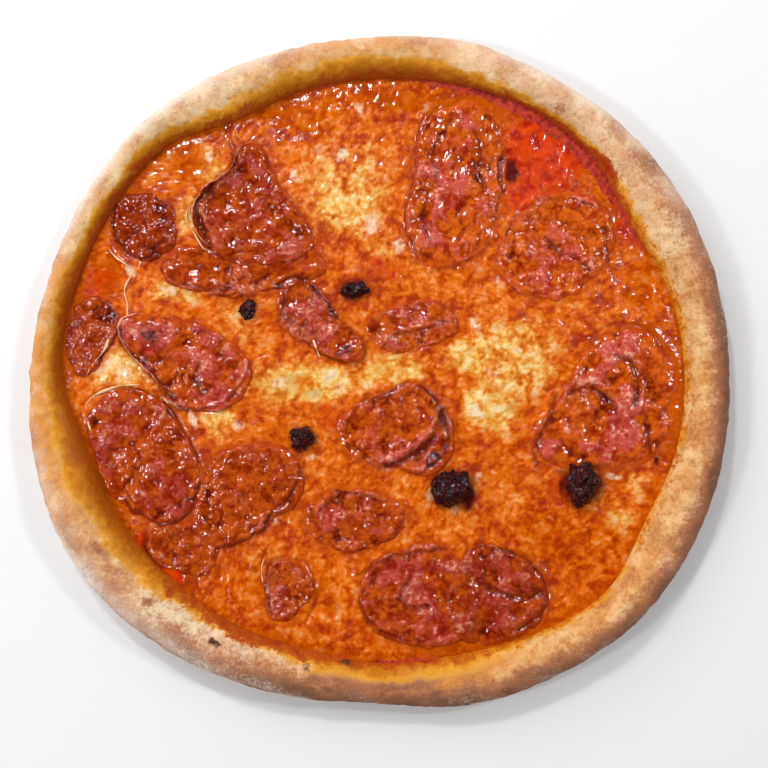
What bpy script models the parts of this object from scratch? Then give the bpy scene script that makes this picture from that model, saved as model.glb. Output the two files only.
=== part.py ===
"""A whole baked salami pizza.

Units are metres and +Z is up. The origin is under the middle of the base. +X points to the right
of the pizza as the diner sees it, and +Y points away from the diner. A raised, uneven rim of dough
surrounds a thin base. On the base lie tomato sauce, melted cheese, slices of salami and dark lumps
of soft sausage.
"""

from math import atan2, cos, exp, hypot, pi, radians, sin, tau

import bmesh
import bpy
from mathutils import Vector, noise
from mathutils.bvhtree import BVHTree

MM = 0.001
GAP = 0.0003

# Dough. The radii are in millimetres, every 15 degrees from +X, counter-clockwise from above.
OUTER_RADII = (
    162, 162, 162, 161, 159, 159, 156, 156, 158, 160, 160, 160,
    162, 165, 167, 165, 160, 156, 154, 160, 163, 166, 166, 164,
)
FOOT_RADII = (
    142, 140, 136, 141, 141, 139, 137, 136, 135, 145, 146, 147,
    148, 141, 139, 137, 136, 134, 136, 137, 142, 147, 142, 143,
)
# Height of the rim in millimetres, every 30 degrees.
CREST_HEIGHTS = (17, 18, 16, 15, 17, 13.5, 15, 19, 18, 14.5, 17, 18)
MEAN_OUTER = 0.161
MEAN_FOOT = 0.140
MEAN_CREST = 0.0165
BASE_THICKNESS = 0.0035
BULGE_HEIGHT = 0.0070
CONTACT_SHARE = 0.72
CREST_FULLNESS = 0.75
RIM_SWELL = 0.0012
RIM_SWELL_LENGTH = 0.030
# Puffs and pinches of the rim: angle in degrees, share of the way from foot to outer edge, then
# height and spread in millimetres.
RIM_BUMPS = (
    (15, 0.55, 1.5, 16),
    (58, 0.60, 1.2, 12),
    (92, 0.45, 1.4, 14),
    (120, 0.25, -3.2, 7),
    (133, 0.80, 2.2, 8),
    (168, 0.50, 1.2, 10),
    (205, 0.50, 1.6, 18),
    (220, 0.25, -3.0, 7),
    (243, 0.60, 1.5, 14),
    (268, 0.55, 2.2, 10),
    (317, 0.15, 4.5, 8),
    (327, 0.30, -2.8, 7),
    (345, 0.55, 1.6, 16),
)

# Sauce and cheese. The sauce shows between the cheese and the foot of the rim, by this many
# millimetres, every 15 degrees.
SAUCE_SHOWS = (
    2, 3, 5, 6, 6, 4, 3, 3, 2, 2, 2, 2,
    2, 2, 2, 2, 2, 3, 4, 3, 2, 2, 2, 2,
)
SAUCE_THICKNESS = 0.0010
SAUCE_INSET = 0.0008
CHEESE_THICKNESS = 0.0021
CHEESE_EDGE_THICKNESS = 0.0008
CHEESE_SWELL = 0.0007
CHEESE_SWELL_LENGTH = 0.034
# Mounds and hollows of the cheese: x, y, height and spread in millimetres.
CHEESE_MOUNDS = (
    (-19, 79, 0.8, 24),
    (-37, -5, 0.9, 20),
    (64, 9, 0.8, 26),
    (-116, -3, 1.0, 11),
    (46, -18, 0.6, 12),
    (-72, -29, 0.7, 11),
    (-100, 39, 0.7, 13),
    (111, -72, 0.6, 13),
    (-123, -52, -1.0, 13),
    (61, 92, -1.0, 9),
    (101, 88, -0.6, 14),
    (129, 34, -0.6, 13),
    (-51, 122, -0.6, 16),
    (-84, -88, -0.6, 12),
)
SAUCE_BOTTOM = BASE_THICKNESS + GAP
SAUCE_TOP = SAUCE_BOTTOM + SAUCE_THICKNESS
CHEESE_BOTTOM = SAUCE_TOP + GAP
CHEESE_TOP = CHEESE_BOTTOM + CHEESE_THICKNESS

# Salami. Each slice has its centre and its radii in millimetres, evenly spaced from +X, and the
# side that stands up: its direction in degrees and its height in millimetres. Lower slices come
# first, and the later ones lie over them where they meet.
SLICE_THICKNESS = 0.0012
SLICE_MARGIN = 0.0010
SLICE_WRINKLE = 0.0006
SLICE_WRINKLE_LENGTH = 0.011
SLICES = {
    "salami_top_left_under": ((-65, 47), (40, 19, 13, 12, 18, 39, 20, 15, 14, 18), (260, 0.8)),
    "salami_lower_left_under": ((-92, -84), (17, 13, 12, 16, 19, 12, 11, 17), (270, 0.5)),
    "salami_left_edge": ((-136, 15), (13, 18, 19, 13, 11, 15, 19, 12), (0, 0.6)),
    "salami_far_left_round": ((-110, 67), (15, 16, 16, 18, 16, 15, 17, 17), (200, 1.2)),
    "salami_top_left_folded": ((-60, 73), (23, 19, 21, 33, 21, 24, 27, 26, 25, 25, 27, 33), (150, 3.5)),
    "salami_top_right_long": ((36, 87), (24, 29, 41, 36, 25, 21, 30, 42, 35, 25), (180, 1.4)),
    "salami_right_upper": ((83, 57), (27, 29, 27, 24, 23, 28, 29, 26, 25, 23), (60, 1.2)),
    "salami_right_large": ((109, -17), (28, 35, 38, 35, 28, 23, 27, 41, 36, 30, 30, 30), (170, 1.6)),
    "salami_bottom_left_half": ((18, -106), (26, 25, 26, 23, 26, 27, 25, 22, 24, 28), (180, 1.8)),
    "salami_bottom_right_half": ((53, -106), (24, 23, 22, 25, 22, 22, 25, 23, 21, 23), (45, 1.4)),
    "salami_small_wedge": ((-43, -103), (13, 12, 14, 14, 10, 13, 15, 11), (180, 1.0)),
    "salami_lower_middle": ((-12, -71), (25, 18, 15, 19, 24, 18, 15, 17), (90, 0.6)),
    "salami_centre_left": ((-30, 22), (12, 11, 13, 21, 21, 17, 13, 11, 17, 28), (300, 2.2)),
    "salami_centre_narrow": ((15, 19), (22, 17, 12, 13, 22, 16, 12, 12), (90, 0.9)),
    "salami_centre_charred": ((10, -29), (26, 25, 25, 21, 20, 24, 30, 26, 20, 18, 25, 27), (0, 3.0)),
    "salami_left_folded": ((-89, 3), (28, 21, 18, 19, 24, 36, 23, 17, 20, 22, 27, 30), (200, 3.0)),
    "salami_left_lower_round": ((-109, -41), (24, 22, 26, 33, 32, 24, 24, 26, 33, 32), (100, 1.8)),
    "salami_lower_left_round": ((-62, -58), (26, 28, 23, 23, 21, 31, 23, 18), (0, 1.0)),
}

# Sausage lumps, with the same kind of centre and radii, and their heights, in millimetres.
LUMP_ROUGHNESS = 0.28
LUMP_GRAIN = 0.0042
LUMPS = {
    "sausage_lump_centre": ((33, -56), (11, 10, 9, 9, 10, 10, 9, 9), 8.0),
    "sausage_lump_right": ((94, -54), (9, 10, 11, 10, 9, 10, 10, 9), 8.5),
    "sausage_lump_left": ((-36, -33), (6, 6, 6, 7, 6, 6, 5, 6), 5.0),
    "sausage_crumbs_upper": ((-12, 37), (8, 5, 3, 4, 7, 5, 4, 4), 3.5),
    "sausage_crumbs_left": ((-62, 27), (4, 5, 5, 4, 4, 4, 5, 4), 2.5),
}

# Fineness of the meshes.
DOUGH_STEPS = 120
LAYER_STEPS = 96
RIM_POINTS = 11
UNDER_POINTS = 4
CHEESE_SHARES = (0, 0.13, 0.26, 0.38, 0.5, 0.61, 0.71, 0.8, 0.88, 0.95, 1)
FLAT_SHARES = (0, 0.5, 1)
SLICE_STEPS = 20
SLICE_RINGS = 3
SETTLE_DIVISIONS = 6
SETTLE_ROUNDS = 4
LUMP_DIVISIONS = 3

# Colours and roughness of the materials.
FINISHES = {
    "baked_dough": ((0.66, 0.44, 0.24), 0.75),
    "tomato_sauce": ((0.42, 0.04, 0.01), 0.35),
    "melted_cheese": ((0.80, 0.30, 0.05), 0.30),
    "salami": ((0.40, 0.06, 0.04), 0.35),
    "charred_sausage": ((0.07, 0.01, 0.01), 0.45),
}


def around(values, angle):
    """Smooth value at an angle, from values spaced evenly round the circle."""
    place = (angle % tau) / tau * len(values)
    first = int(place)
    t = place - first
    a, b, c, d = (values[(first + k) % len(values)] for k in (-1, 0, 1, 2))
    return b + 0.5 * t * (c - a + t * (2 * a - 5 * b + 4 * c - d + t * (3 * (b - c) + d - a)))


def foot_radius(angle):
    """Distance from the middle to the foot of the rim's inner slope."""
    return around(FOOT_RADII, angle) * MM


def cheese_radius(angle):
    """Distance from the middle to the edge of the cheese."""
    return foot_radius(angle) - around(SAUCE_SHOWS, angle) * MM


def swell(x, y, length, layer):
    """Soft unevenness between -1 and 1, with swells about a given length across."""
    return noise.noise(Vector((x / length, y / length, layer)))


def bump(distance, height, spread):
    """Height in metres of a rounded bump, at a distance in metres from its middle."""
    return height * MM * exp(-((distance / (spread * MM)) ** 2))


def rim_bumps(angle, share):
    """Height of the rim's puffs and pinches, by angle and by share of the rim's width."""
    width = MEAN_OUTER - MEAN_FOOT
    total = 0
    for middle, middle_share, height, spread in RIM_BUMPS:
        turn = (angle - radians(middle) + pi) % tau - pi
        total += bump(hypot(turn * MEAN_OUTER, (share - middle_share) * width), height, spread)
    return total


def material(name):
    """Principled material with one of the named finishes."""
    colour, roughness = FINISHES[name]
    made = bpy.data.materials.get(name) or bpy.data.materials.new(name)
    made.use_nodes = True
    shader = made.node_tree.nodes["Principled BSDF"]
    shader.inputs["Base Color"].default_value = (*colour, 1)
    shader.inputs["Roughness"].default_value = roughness
    made.diffuse_color = (*colour, 1)
    return made


def finished(mesh, name, finish):
    """Object of a mesh, triangulated and smooth, in the pizza's collection."""
    work = bmesh.new()
    work.from_mesh(mesh)
    bmesh.ops.triangulate(work, faces=work.faces[:])
    work.to_mesh(mesh)
    work.free()
    mesh.materials.clear()
    mesh.materials.append(material(finish))
    mesh.shade_smooth()
    made = bpy.data.objects.new(name, mesh)
    pizza.objects.link(made)
    return made


def turned(name, profile, steps, finish):
    """Object turned round Z from a profile of (radius, height) points."""
    line = bpy.data.meshes.new(name + "_profile")
    edges = [(i, i + 1) for i in range(len(profile) - 1)]
    line.from_pydata([(radius, 0, height) for radius, height in profile], edges, [])
    guide = bpy.data.objects.new(name + "_profile", line)
    pizza.objects.link(guide)
    screw = guide.modifiers.new("turn", "SCREW")
    screw.steps = steps
    screw.render_steps = steps
    screw.use_merge_vertices = True
    screw.merge_threshold = 0.00001
    mesh = bpy.data.meshes.new_from_object(guide.evaluated_get(bpy.context.evaluated_depsgraph_get()))
    mesh.name = name
    bpy.data.objects.remove(guide)
    return finished(mesh, name, finish)


def move_points(made, place):
    """Carry every point of an object to the place that a function gives."""
    for point in made.data.vertices:
        point.co = place(point.co)
    made.data.update()


def rim_profile():
    """Turned outline of the dough, from the middle of its top out round the rim and back below."""
    width = MEAN_OUTER - MEAN_FOOT
    rise = MEAN_CREST - (BASE_THICKNESS + BULGE_HEIGHT) / 2
    points = [(share * MEAN_FOOT, BASE_THICKNESS) for share in FLAT_SHARES[:-1]]
    for k in range(RIM_POINTS):
        turn = pi * k / (RIM_POINTS - 1)
        share = 0.5 - 0.5 * cos(turn)
        level = BASE_THICKNESS + (BULGE_HEIGHT - BASE_THICKNESS) * share
        points.append((MEAN_FOOT + width * share, level + rise * max(0, sin(turn)) ** CREST_FULLNESS))
    for k in range(1, UNDER_POINTS + 1):
        turn = pi / 2 * k / UNDER_POINTS
        share = CONTACT_SHARE + (1 - CONTACT_SHARE) * cos(turn)
        points.append((MEAN_FOOT + width * share, BULGE_HEIGHT * (1 - sin(turn))))
    return points + [(share * MEAN_FOOT, 0) for share in reversed(FLAT_SHARES[:-1])]


def dough_point(point):
    """Place on the uneven pizza of a point of the evenly turned dough."""
    angle = atan2(point.y, point.x)
    radius = hypot(point.x, point.y)
    foot = foot_radius(angle)
    if radius <= MEAN_FOOT:
        reach = radius / MEAN_FOOT * foot
        height = point.z
    else:
        share = (radius - MEAN_FOOT) / (MEAN_OUTER - MEAN_FOOT)
        reach = foot + share * (around(OUTER_RADII, angle) * MM - foot)
        raised = max(0, point.z - BULGE_HEIGHT) / (MEAN_CREST - BULGE_HEIGHT)
        uneven = RIM_SWELL * swell(point.x, point.y, RIM_SWELL_LENGTH, 0.3) + rim_bumps(angle, share)
        height = point.z + raised * (around(CREST_HEIGHTS, angle) * MM - MEAN_CREST + uneven)
    return Vector((reach * cos(angle), reach * sin(angle), height))


def layer(name, finish, shares, edge, top, bottom):
    """Flat-bottomed sheet of food, from its edge radius by angle and its top height by place."""
    profile = [(share, 1) for share in shares]
    profile += [(share, 0) for share in reversed(FLAT_SHARES)]
    made = turned(name, profile, LAYER_STEPS, finish)

    def place(point):
        angle = atan2(point.y, point.x)
        share = hypot(point.x, point.y)
        x = share * edge(angle) * cos(angle)
        y = share * edge(angle) * sin(angle)
        return Vector((x, y, top(x, y, share) if point.z > 0.5 else bottom))

    move_points(made, place)
    return made


def cheese_top(x, y, share):
    """Height of the cheese, which swells gently and thins out at its edge."""
    full = CHEESE_TOP + CHEESE_SWELL * swell(x, y, CHEESE_SWELL_LENGTH, 1.7)
    for middle_x, middle_y, height, spread in CHEESE_MOUNDS:
        full += bump(hypot(x - middle_x * MM, y - middle_y * MM), height, spread)
    edge = CHEESE_BOTTOM + CHEESE_EDGE_THICKNESS
    return edge + (full - edge) * (1 - share ** 14)


def tree_of(made):
    """Search tree over an object's faces as its modifiers leave them."""
    bpy.context.view_layer.update()
    return BVHTree.FromObject(made, bpy.context.evaluated_depsgraph_get())


def top_of(below, x, y):
    """Height of the highest surface under a place."""
    hits = (tree.ray_cast(Vector((x, y, 1)), Vector((0, 0, -1)))[0] for tree in below)
    return max((hit.z for hit in hits if hit), default=0)


def settle(mesh, faces, below):
    """Raise the corners of some faces until those faces clear everything below by the gap."""
    steps = SETTLE_DIVISIONS
    shares = [(i / steps, j / steps) for i in range(steps + 1) for j in range(steps + 1 - i)]
    for _ in range(SETTLE_ROUNDS):
        for face in faces:
            corners = [mesh.vertices[i] for i in face.vertices]
            a, b, c = (corner.co.copy() for corner in corners)
            places = (a + (b - a) * s + (c - a) * t for s, t in shares)
            short = max(top_of(below, p.x, p.y) + GAP - p.z for p in places)
            if short > 0:
                for corner in corners:
                    corner.co.z += short


def salami_slice(name, centre, radii, side, below):
    """Thin slice that follows what it lies on, with one side standing up."""
    disc = turned(name, [(ring / SLICE_RINGS, 0) for ring in range(SLICE_RINGS + 1)], SLICE_STEPS, "salami")
    side_angle = radians(side[0])

    def place(point):
        angle = atan2(point.y, point.x)
        share = hypot(point.x, point.y)
        reach = share * around(radii, angle) * MM
        x = centre[0] * MM + reach * cos(angle)
        y = centre[1] * MM + reach * sin(angle)
        limit = cheese_radius(atan2(y, x)) - SLICE_MARGIN
        inside = min(1, limit / hypot(x, y))
        x, y = x * inside, y * inside
        facing = max(0, cos(angle - side_angle))
        lift = side[1] * MM * facing * share ** 3
        wrinkle = SLICE_WRINKLE * (1 + swell(x, y, SLICE_WRINKLE_LENGTH, 4.1)) / 2
        return Vector((x, y, top_of(below, x, y) + GAP + lift + wrinkle))

    move_points(disc, place)
    settle(disc.data, disc.data.polygons, below)
    skin = disc.modifiers.new("thickness", "SOLIDIFY")
    skin.thickness = SLICE_THICKNESS
    skin.offset = 1
    return disc


def sausage_lump(name, centre, radii, height, below):
    """Crumbly lump with a rough top, pressed flat on what it lies on."""
    work = bmesh.new()
    bmesh.ops.create_icosphere(work, subdivisions=LUMP_DIVISIONS, radius=1)
    mesh = bpy.data.meshes.new(name)
    work.to_mesh(mesh)
    work.free()
    made = finished(mesh, name, "charred_sausage")
    ground = top_of(below, centre[0] * MM, centre[1] * MM)

    def place(point):
        angle = atan2(point.y, point.x)
        reach = hypot(point.x, point.y) * around(radii, angle) * MM
        x = centre[0] * MM + reach * cos(angle)
        y = centre[1] * MM + reach * sin(angle)
        rough = 1 + LUMP_ROUGHNESS * noise.noise(Vector((x, y, point.z * height * MM)) / LUMP_GRAIN)
        tall = ground + height * MM * (0.3 + 0.7 * point.z * rough)
        return Vector((x, y, max(tall, top_of(below, x, y) + 2 * GAP)))

    move_points(made, place)
    settle(mesh, [face for face in mesh.polygons if face.normal.z < 0], below)
    return made


for old in list(bpy.data.objects):
    bpy.data.objects.remove(old)
pizza = bpy.data.collections.new("salami_pizza")
bpy.context.scene.collection.children.link(pizza)

crust = turned("crust", rim_profile(), DOUGH_STEPS, "baked_dough")
move_points(crust, dough_point)

layer(
    "tomato_sauce", "tomato_sauce", FLAT_SHARES,
    edge=lambda angle: foot_radius(angle) - SAUCE_INSET,
    top=lambda x, y, share: SAUCE_TOP,
    bottom=SAUCE_BOTTOM,
)
cheese = layer(
    "cheese", "melted_cheese", CHEESE_SHARES,
    edge=cheese_radius,
    top=cheese_top,
    bottom=CHEESE_BOTTOM,
)

laid = [tree_of(crust), tree_of(cheese)]
for name, (centre, radii, side) in SLICES.items():
    laid.append(tree_of(salami_slice(name, centre, radii, side, laid)))
for name, (centre, radii, height) in LUMPS.items():
    sausage_lump(name, centre, radii, height, laid)
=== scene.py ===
"""Looks of a whole baked salami pizza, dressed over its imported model.

Units are metres and +Z is up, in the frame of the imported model. Sizes that end in _MM, the plans of
the slices and the places of the stains are in millimetres. Every piece is food: dough, sauce,
cheese, salami and sausage, each with its own class for its shape and its own finish.
"""

import logging
from collections.abc import Iterable, Sequence
from dataclasses import dataclass
from enum import Enum
from functools import lru_cache
from math import cos, pi, radians, sin, tau

import bpy
import numpy as np
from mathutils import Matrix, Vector, noise


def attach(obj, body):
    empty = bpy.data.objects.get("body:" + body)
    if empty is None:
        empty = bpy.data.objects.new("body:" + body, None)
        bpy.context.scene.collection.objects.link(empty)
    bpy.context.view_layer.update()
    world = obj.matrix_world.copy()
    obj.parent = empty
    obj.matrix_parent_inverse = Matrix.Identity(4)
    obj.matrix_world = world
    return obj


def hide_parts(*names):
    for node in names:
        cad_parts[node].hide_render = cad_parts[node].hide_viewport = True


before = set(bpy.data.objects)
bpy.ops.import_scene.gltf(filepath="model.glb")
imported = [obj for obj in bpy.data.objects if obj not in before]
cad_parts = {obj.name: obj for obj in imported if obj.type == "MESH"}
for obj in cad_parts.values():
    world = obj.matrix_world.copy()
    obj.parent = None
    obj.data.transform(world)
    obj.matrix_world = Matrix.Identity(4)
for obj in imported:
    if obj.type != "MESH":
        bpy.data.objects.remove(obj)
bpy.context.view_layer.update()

Values = np.ndarray
Colour = tuple[int, int, int]
Feed = bpy.types.NodeSocket | float | int | tuple | str | bool

BODY = "root"
MM = 0.001
log = logging.getLogger("salami_pizza")


class Slot(Enum):
    """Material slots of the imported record."""

    DOUGH = "baked_dough"
    SAUCE = "tomato_sauce"
    CHEESE = "melted_cheese"
    SALAMI = "salami"
    SAUSAGE = "charred_sausage"


class Lay(Enum):
    """How deep a slice of salami has sunk into the cheese, in millimetres."""

    ON_TOP = 0.35
    SETTLED = 0.65
    SUNK = 0.8


def around(values: Sequence[float], angle: Values) -> Values:
    """Smooth value at some angles, from values spaced evenly round the circle.

    Args:
        values: The values, counter-clockwise from +X.
        angle: Angles in radians.

    Returns:
        One value for each angle.
    """
    known = np.asarray(values, float)
    place = (angle % tau) / tau * len(known)
    first = np.floor(place).astype(int)
    t = place - first
    a, b, c, d = (known[(first + k) % len(known)] for k in (-1, 0, 1, 2))
    return b + 0.5 * t * (c - a + t * (2 * a - 5 * b + 4 * c - d + t * (3 * (b - c) + d - a)))


def swell(x: Values, y: Values, length: float, layer: float) -> Values:
    """Soft unevenness between -1 and 1.

    Args:
        x: Places along X.
        y: Places along Y.
        length: About the width of one swell, in the unit of x and y.
        layer: Which of many unlike patterns to read.

    Returns:
        One height for each place.
    """
    places = zip((x / length).ravel().tolist(), (y / length).ravel().tolist())
    return np.array([noise.noise(Vector((a, b, layer))) for a, b in places]).reshape(np.shape(x))


@dataclass(frozen=True)
class Unevenness:
    """Soft unevenness: its strength, the width of one swell and which pattern it reads."""

    strength: float
    length: float
    layer: float

    def at(self, x: Values, y: Values) -> Values:
        """Read the unevenness at some places."""
        return self.strength * swell(x, y, self.length, self.layer)


def eased(low: float, high: float, value: Values) -> Values:
    """Share from 0 at low to 1 at high, with soft ends.

    Args:
        low: Value where the share is 0.
        high: Value where the share is 1.
        value: The values to place between them.

    Returns:
        One share for each value.
    """
    t = np.clip((value - low) / (high - low), 0, 1)
    return t * t * (3 - 2 * t)


def bump(distance: Values, height: float, spread: float) -> Values:
    """Height of a rounded bump at a distance from its middle, all in one unit."""
    return height * np.exp(-((distance / spread) ** 2))


@dataclass(frozen=True)
class Patch:
    """Soft oval stain or puddle, seen from above, in millimetres."""

    x: float
    y: float
    wide: float
    tall: float
    strength: float
    turn: float = 0


def patches(*rows: tuple[float, ...]) -> tuple[Patch, ...]:
    """Stains from rows of their numbers."""
    return tuple(Patch(*row) for row in rows)


WARP_MM = 3.2
WARP_LENGTH_MM = 13
FRAY_MM = 1.5
FRAY_LENGTH_MM = 4.2


def painted(patches: Iterable[Patch], x: Values, y: Values) -> Values:
    """Strength of the stains at some places.

    Args:
        patches: The stains. Where they meet they join softly.
        x: Places along X, in metres.
        y: Places along Y, in metres.

    Returns:
        A strength from 0 to 1 for each place.
    """
    across, along = x / MM, y / MM
    fray = FRAY_MM * swell(across, along, FRAY_LENGTH_MM, 14.6)
    moved_x = across + WARP_MM * swell(across, along, WARP_LENGTH_MM, 11.3) + fray
    moved_y = along + WARP_MM * swell(across, along, WARP_LENGTH_MM, 17.9) - fray
    clear = np.ones(np.shape(x))
    for patch in patches:
        turn = radians(patch.turn)
        u = (moved_x - patch.x) * cos(turn) + (moved_y - patch.y) * sin(turn)
        v = (moved_y - patch.y) * cos(turn) - (moved_x - patch.x) * sin(turn)
        distance = np.hypot(u / patch.wide, v / patch.tall)
        clear = clear * (1 - patch.strength * (1 - eased(0.35, 1.3, distance)))
    return 1 - clear


def rounded(route: Sequence[tuple[float, float]], cuts: int = 2) -> Values:
    """Route with its corners cut off again and again, so that it bends softly.

    Args:
        route: Points along the route.
        cuts: How often the corners are cut.

    Returns:
        One row for each point of the softer route, which keeps its two ends.
    """
    points = np.array(route, float)
    for _ in range(cuts):
        first, second = points[:-1], points[1:]
        inner = np.stack([0.75 * first + 0.25 * second, 0.25 * first + 0.75 * second], axis=1)
        points = np.vstack([points[:1], inner.reshape(-1, 2), points[-1:]])
    return points


@dataclass(frozen=True)
class Fold:
    """Crease in the toppings, with a lip raised on the left of its route, in millimetres."""

    route: tuple[tuple[float, float], ...]
    wide: float = 1.0
    depth: float = 0.7
    lip: float = 0.6

    def read(self, x: Values, y: Values) -> tuple[Values, Values, Values]:
        """Read the fold at some places, in metres.

        Args:
            x: Places along X.
            y: Places along Y.

        Returns:
            The change of height, the share of shade and the share of lip at each place.
        """
        points = rounded(self.route) * MM
        nearest, side = np.full(np.shape(x), np.inf), np.zeros(np.shape(x))
        for start, end in zip(points, points[1:]):
            step = end - start
            t = np.clip(((x - start[0]) * step[0] + (y - start[1]) * step[1]) / (step @ step), 0, 1)
            dx, dy = x - start[0] - t * step[0], y - start[1] - t * step[1]
            distance = np.hypot(dx, dy)
            side = np.where(distance < nearest, np.sign(step[0] * dy - step[1] * dx), side)
            nearest = np.minimum(distance, nearest)
        across = side * nearest / (self.wide * MM)
        groove = np.exp(-(across**2))
        lip = np.exp(-(((across - 1.9) / 0.95) ** 2))
        height = (self.lip * lip - self.depth * groove) * MM
        return height, min(1, self.depth / 0.7) * groove, min(1, self.lip / 0.6) * lip


FOLDS = (
    Fold(((-71, 115), (-72, 109), (-68, 101), (-69, 95), (-75, 90), (-81, 83), (-86, 77), (-85, 71),
          (-82, 63), (-79, 56)), 1.5, 1.1, 1.3),
    Fold(((-100, 60), (-106, 57), (-107, 52), (-111, 50), (-119, 53), (-123, 58), (-125, 68), (-124, 79)),
         0.9, 0.7, 0.7),
    Fold(((-69, 37), (-78, 36), (-86, 38), (-93, 39), (-98, 43)), 0.9, 0.5, 0.8),
    Fold(((-48, 38), (-43, 42), (-38, 43), (-33, 39), (-26, 32), (-20, 24)), 1.0, 0.9, 0.2),
    Fold(((-48, 39), (-44, 35), (-46, 28), (-48, 20), (-44, 15)), 0.8, 0.5, 0.3),
    Fold(((-95, -15), (-102, -7), (-106, -2), (-113, 5), (-120, 10), (-121, 17)), 1.2, 1.1, 0.6),
    Fold(((-96, -17), (-88, -20), (-80, -20), (-70, -15), (-62, -5), (-60, 3)), 0.8, 0.4, 0.6),
    Fold(((-84, 2), (-87, -6), (-82, -12)), 1.1, 0.7, 0.3),
    Fold(((-137, -17), (-134, -13), (-127, -10), (-120, -9), (-112, -10)), 0.8, 0.5, 0.7),
    Fold(((-82, -50), (-84, -41), (-91, -28), (-98, -20)), 0.9, 0.8, 0.3),
    Fold(((-118, -62), (-114, -67), (-104, -73), (-95, -72), (-87, -65), (-83, -54)), 0.9, 0.7, 0.2),
    Fold(((-53, -73), (-49, -66), (-38, -56), (-37, -46)), 1.0, 0.6, 0.2),
    Fold(((-75, -84), (-64, -81), (-53, -75)), 0.9, 0.5, 0.7),
    Fold(((-108, -75), (-109, -82), (-106, -88)), 1.4, 0.9, 0.2),
    Fold(((-33, -115), (-28, -107), (-30, -97), (-36, -88), (-51, -88), (-53, -98), (-50, -114)),
         0.8, 0.6, 0.3),
    Fold(((25, 45), (34, 47), (42, 50), (48, 54), (53, 60)), 0.9, 0.3, 0.7),
    Fold(((29, 125), (20, 115), (17, 106), (16, 97), (17, 90), (14, 84), (12, 77), (12, 69), (14, 60),
          (18, 52)), 0.7, 0.6, 0.2),
    Fold(((35, 119), (27, 109), (24, 98), (28, 90), (22, 80), (20, 70), (24, 60)), 1.3, 0.6, 0.0),
    Fold(((44, 112), (48, 103), (46, 92), (49, 84)), 1.2, 0.7, 0.4),
    Fold(((59, 83), (56, 90), (57, 97), (60, 102)), 1.2, 1.0, 0.9),
    Fold(((60, 62), (64, 72), (71, 77), (82, 80), (92, 79), (100, 76)), 0.8, 0.5, 0.5),
    Fold(((108, 45), (107, 55), (105, 66)), 1.1, 0.7, 0.2),
    Fold(((78, 60), (84, 54), (92, 52), (98, 46)), 1.2, 0.6, 0.4),
    Fold(((73, -46), (72, -38), (75, -30), (80, -22), (82, -13)), 1.1, 0.9, 0.9),
    Fold(((98, 14), (106, 20), (116, 22), (126, 18), (132, 10)), 0.8, 0.5, 0.4),
    Fold(((88, -12), (97, -8), (106, -14), (112, -24)), 1.5, 0.8, 0.5),
    Fold(((110, 6), (118, 2), (121, -8), (118, -18)), 1.3, 0.7, 0.4),
    Fold(((-10, -96), (-4, -92), (5, -87), (15, -86), (23, -85), (31, -84)), 0.9, 0.6, 0.5),
    Fold(((-7, -102), (-9, -111), (-3, -119), (8, -125), (20, -126)), 0.8, 0.5, 0.1),
    Fold(((44, -82), (54, -84), (64, -86), (71, -91), (76, -98), (78, -107), (73, -115), (64, -121)),
         0.9, 0.7, 0.5),
    Fold(((46, -98), (52, -103), (60, -106), (68, -106), (75, -104)), 1.4, 0.8, 0.4),
    Fold(((14, -98), (8, -106), (14, -113), (22, -110)), 1.3, 0.6, 0.4),
    Fold(((19, -8), (24, -12), (28, -19), (31, -27), (32, -34)), 1.2, 0.9, 0.2),
    Fold(((3, -46), (12, -43), (21, -37), (28, -29), (30, -22)), 1.7, 1.0, 1.4),
    Fold(((17, -50), (24, -46), (31, -40)), 0.8, 0.6, 0.3),
    Fold(((-15, -25), (-8, -17), (2, -12), (12, -8)), 0.9, 0.5, 0.3),
    Fold(((-28, -66), (-20, -60), (-10, -58), (0, -62)), 0.9, 0.4, 0.3),
    Fold(((2, 10), (8, 16), (18, 17), (30, 21)), 0.9, 0.5, 0.4),
)
FOLD_WANDER = (Unevenness(0.0008, 0.0060, 21.3), Unevenness(0.0008, 0.0060, 25.7))
FOLD_FADING = Unevenness(0.5, 0.009, 28.1)


def folded(x: Values, y: Values) -> tuple[Values, Values, Values]:
    """Read all the folds together.

    Args:
        x: Places along X, in metres.
        y: Places along Y, in metres.

    Returns:
        The change of height in metres, the share of shade and the share of lip at each place.
    """
    moved_x, moved_y = x + FOLD_WANDER[0].at(x, y), y + FOLD_WANDER[1].at(x, y)
    uneven = 0.75 + FOLD_FADING.at(x, y)
    height, shade, lip = (np.zeros(np.shape(x)) for _ in range(3))
    for fold in FOLDS:
        rise, dark, raised = fold.read(moved_x, moved_y)
        height, shade, lip = height + rise, np.maximum(shade, dark), np.maximum(lip, raised)
    return height * uneven, shade * uneven, lip * uneven


def linear(colour: Colour) -> tuple[float, float, float, float]:
    """Linear colour with full opacity, from the eight-bit values that a screen shows.

    Args:
        colour: The red, green and blue values.

    Returns:
        The linear values.
    """
    shares = [part / 255 for part in colour]
    straight = [s / 12.92 if s <= 0.04045 else ((s + 0.055) / 1.055) ** 2.4 for s in shares]
    return (straight[0], straight[1], straight[2], 1.0)


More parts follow.
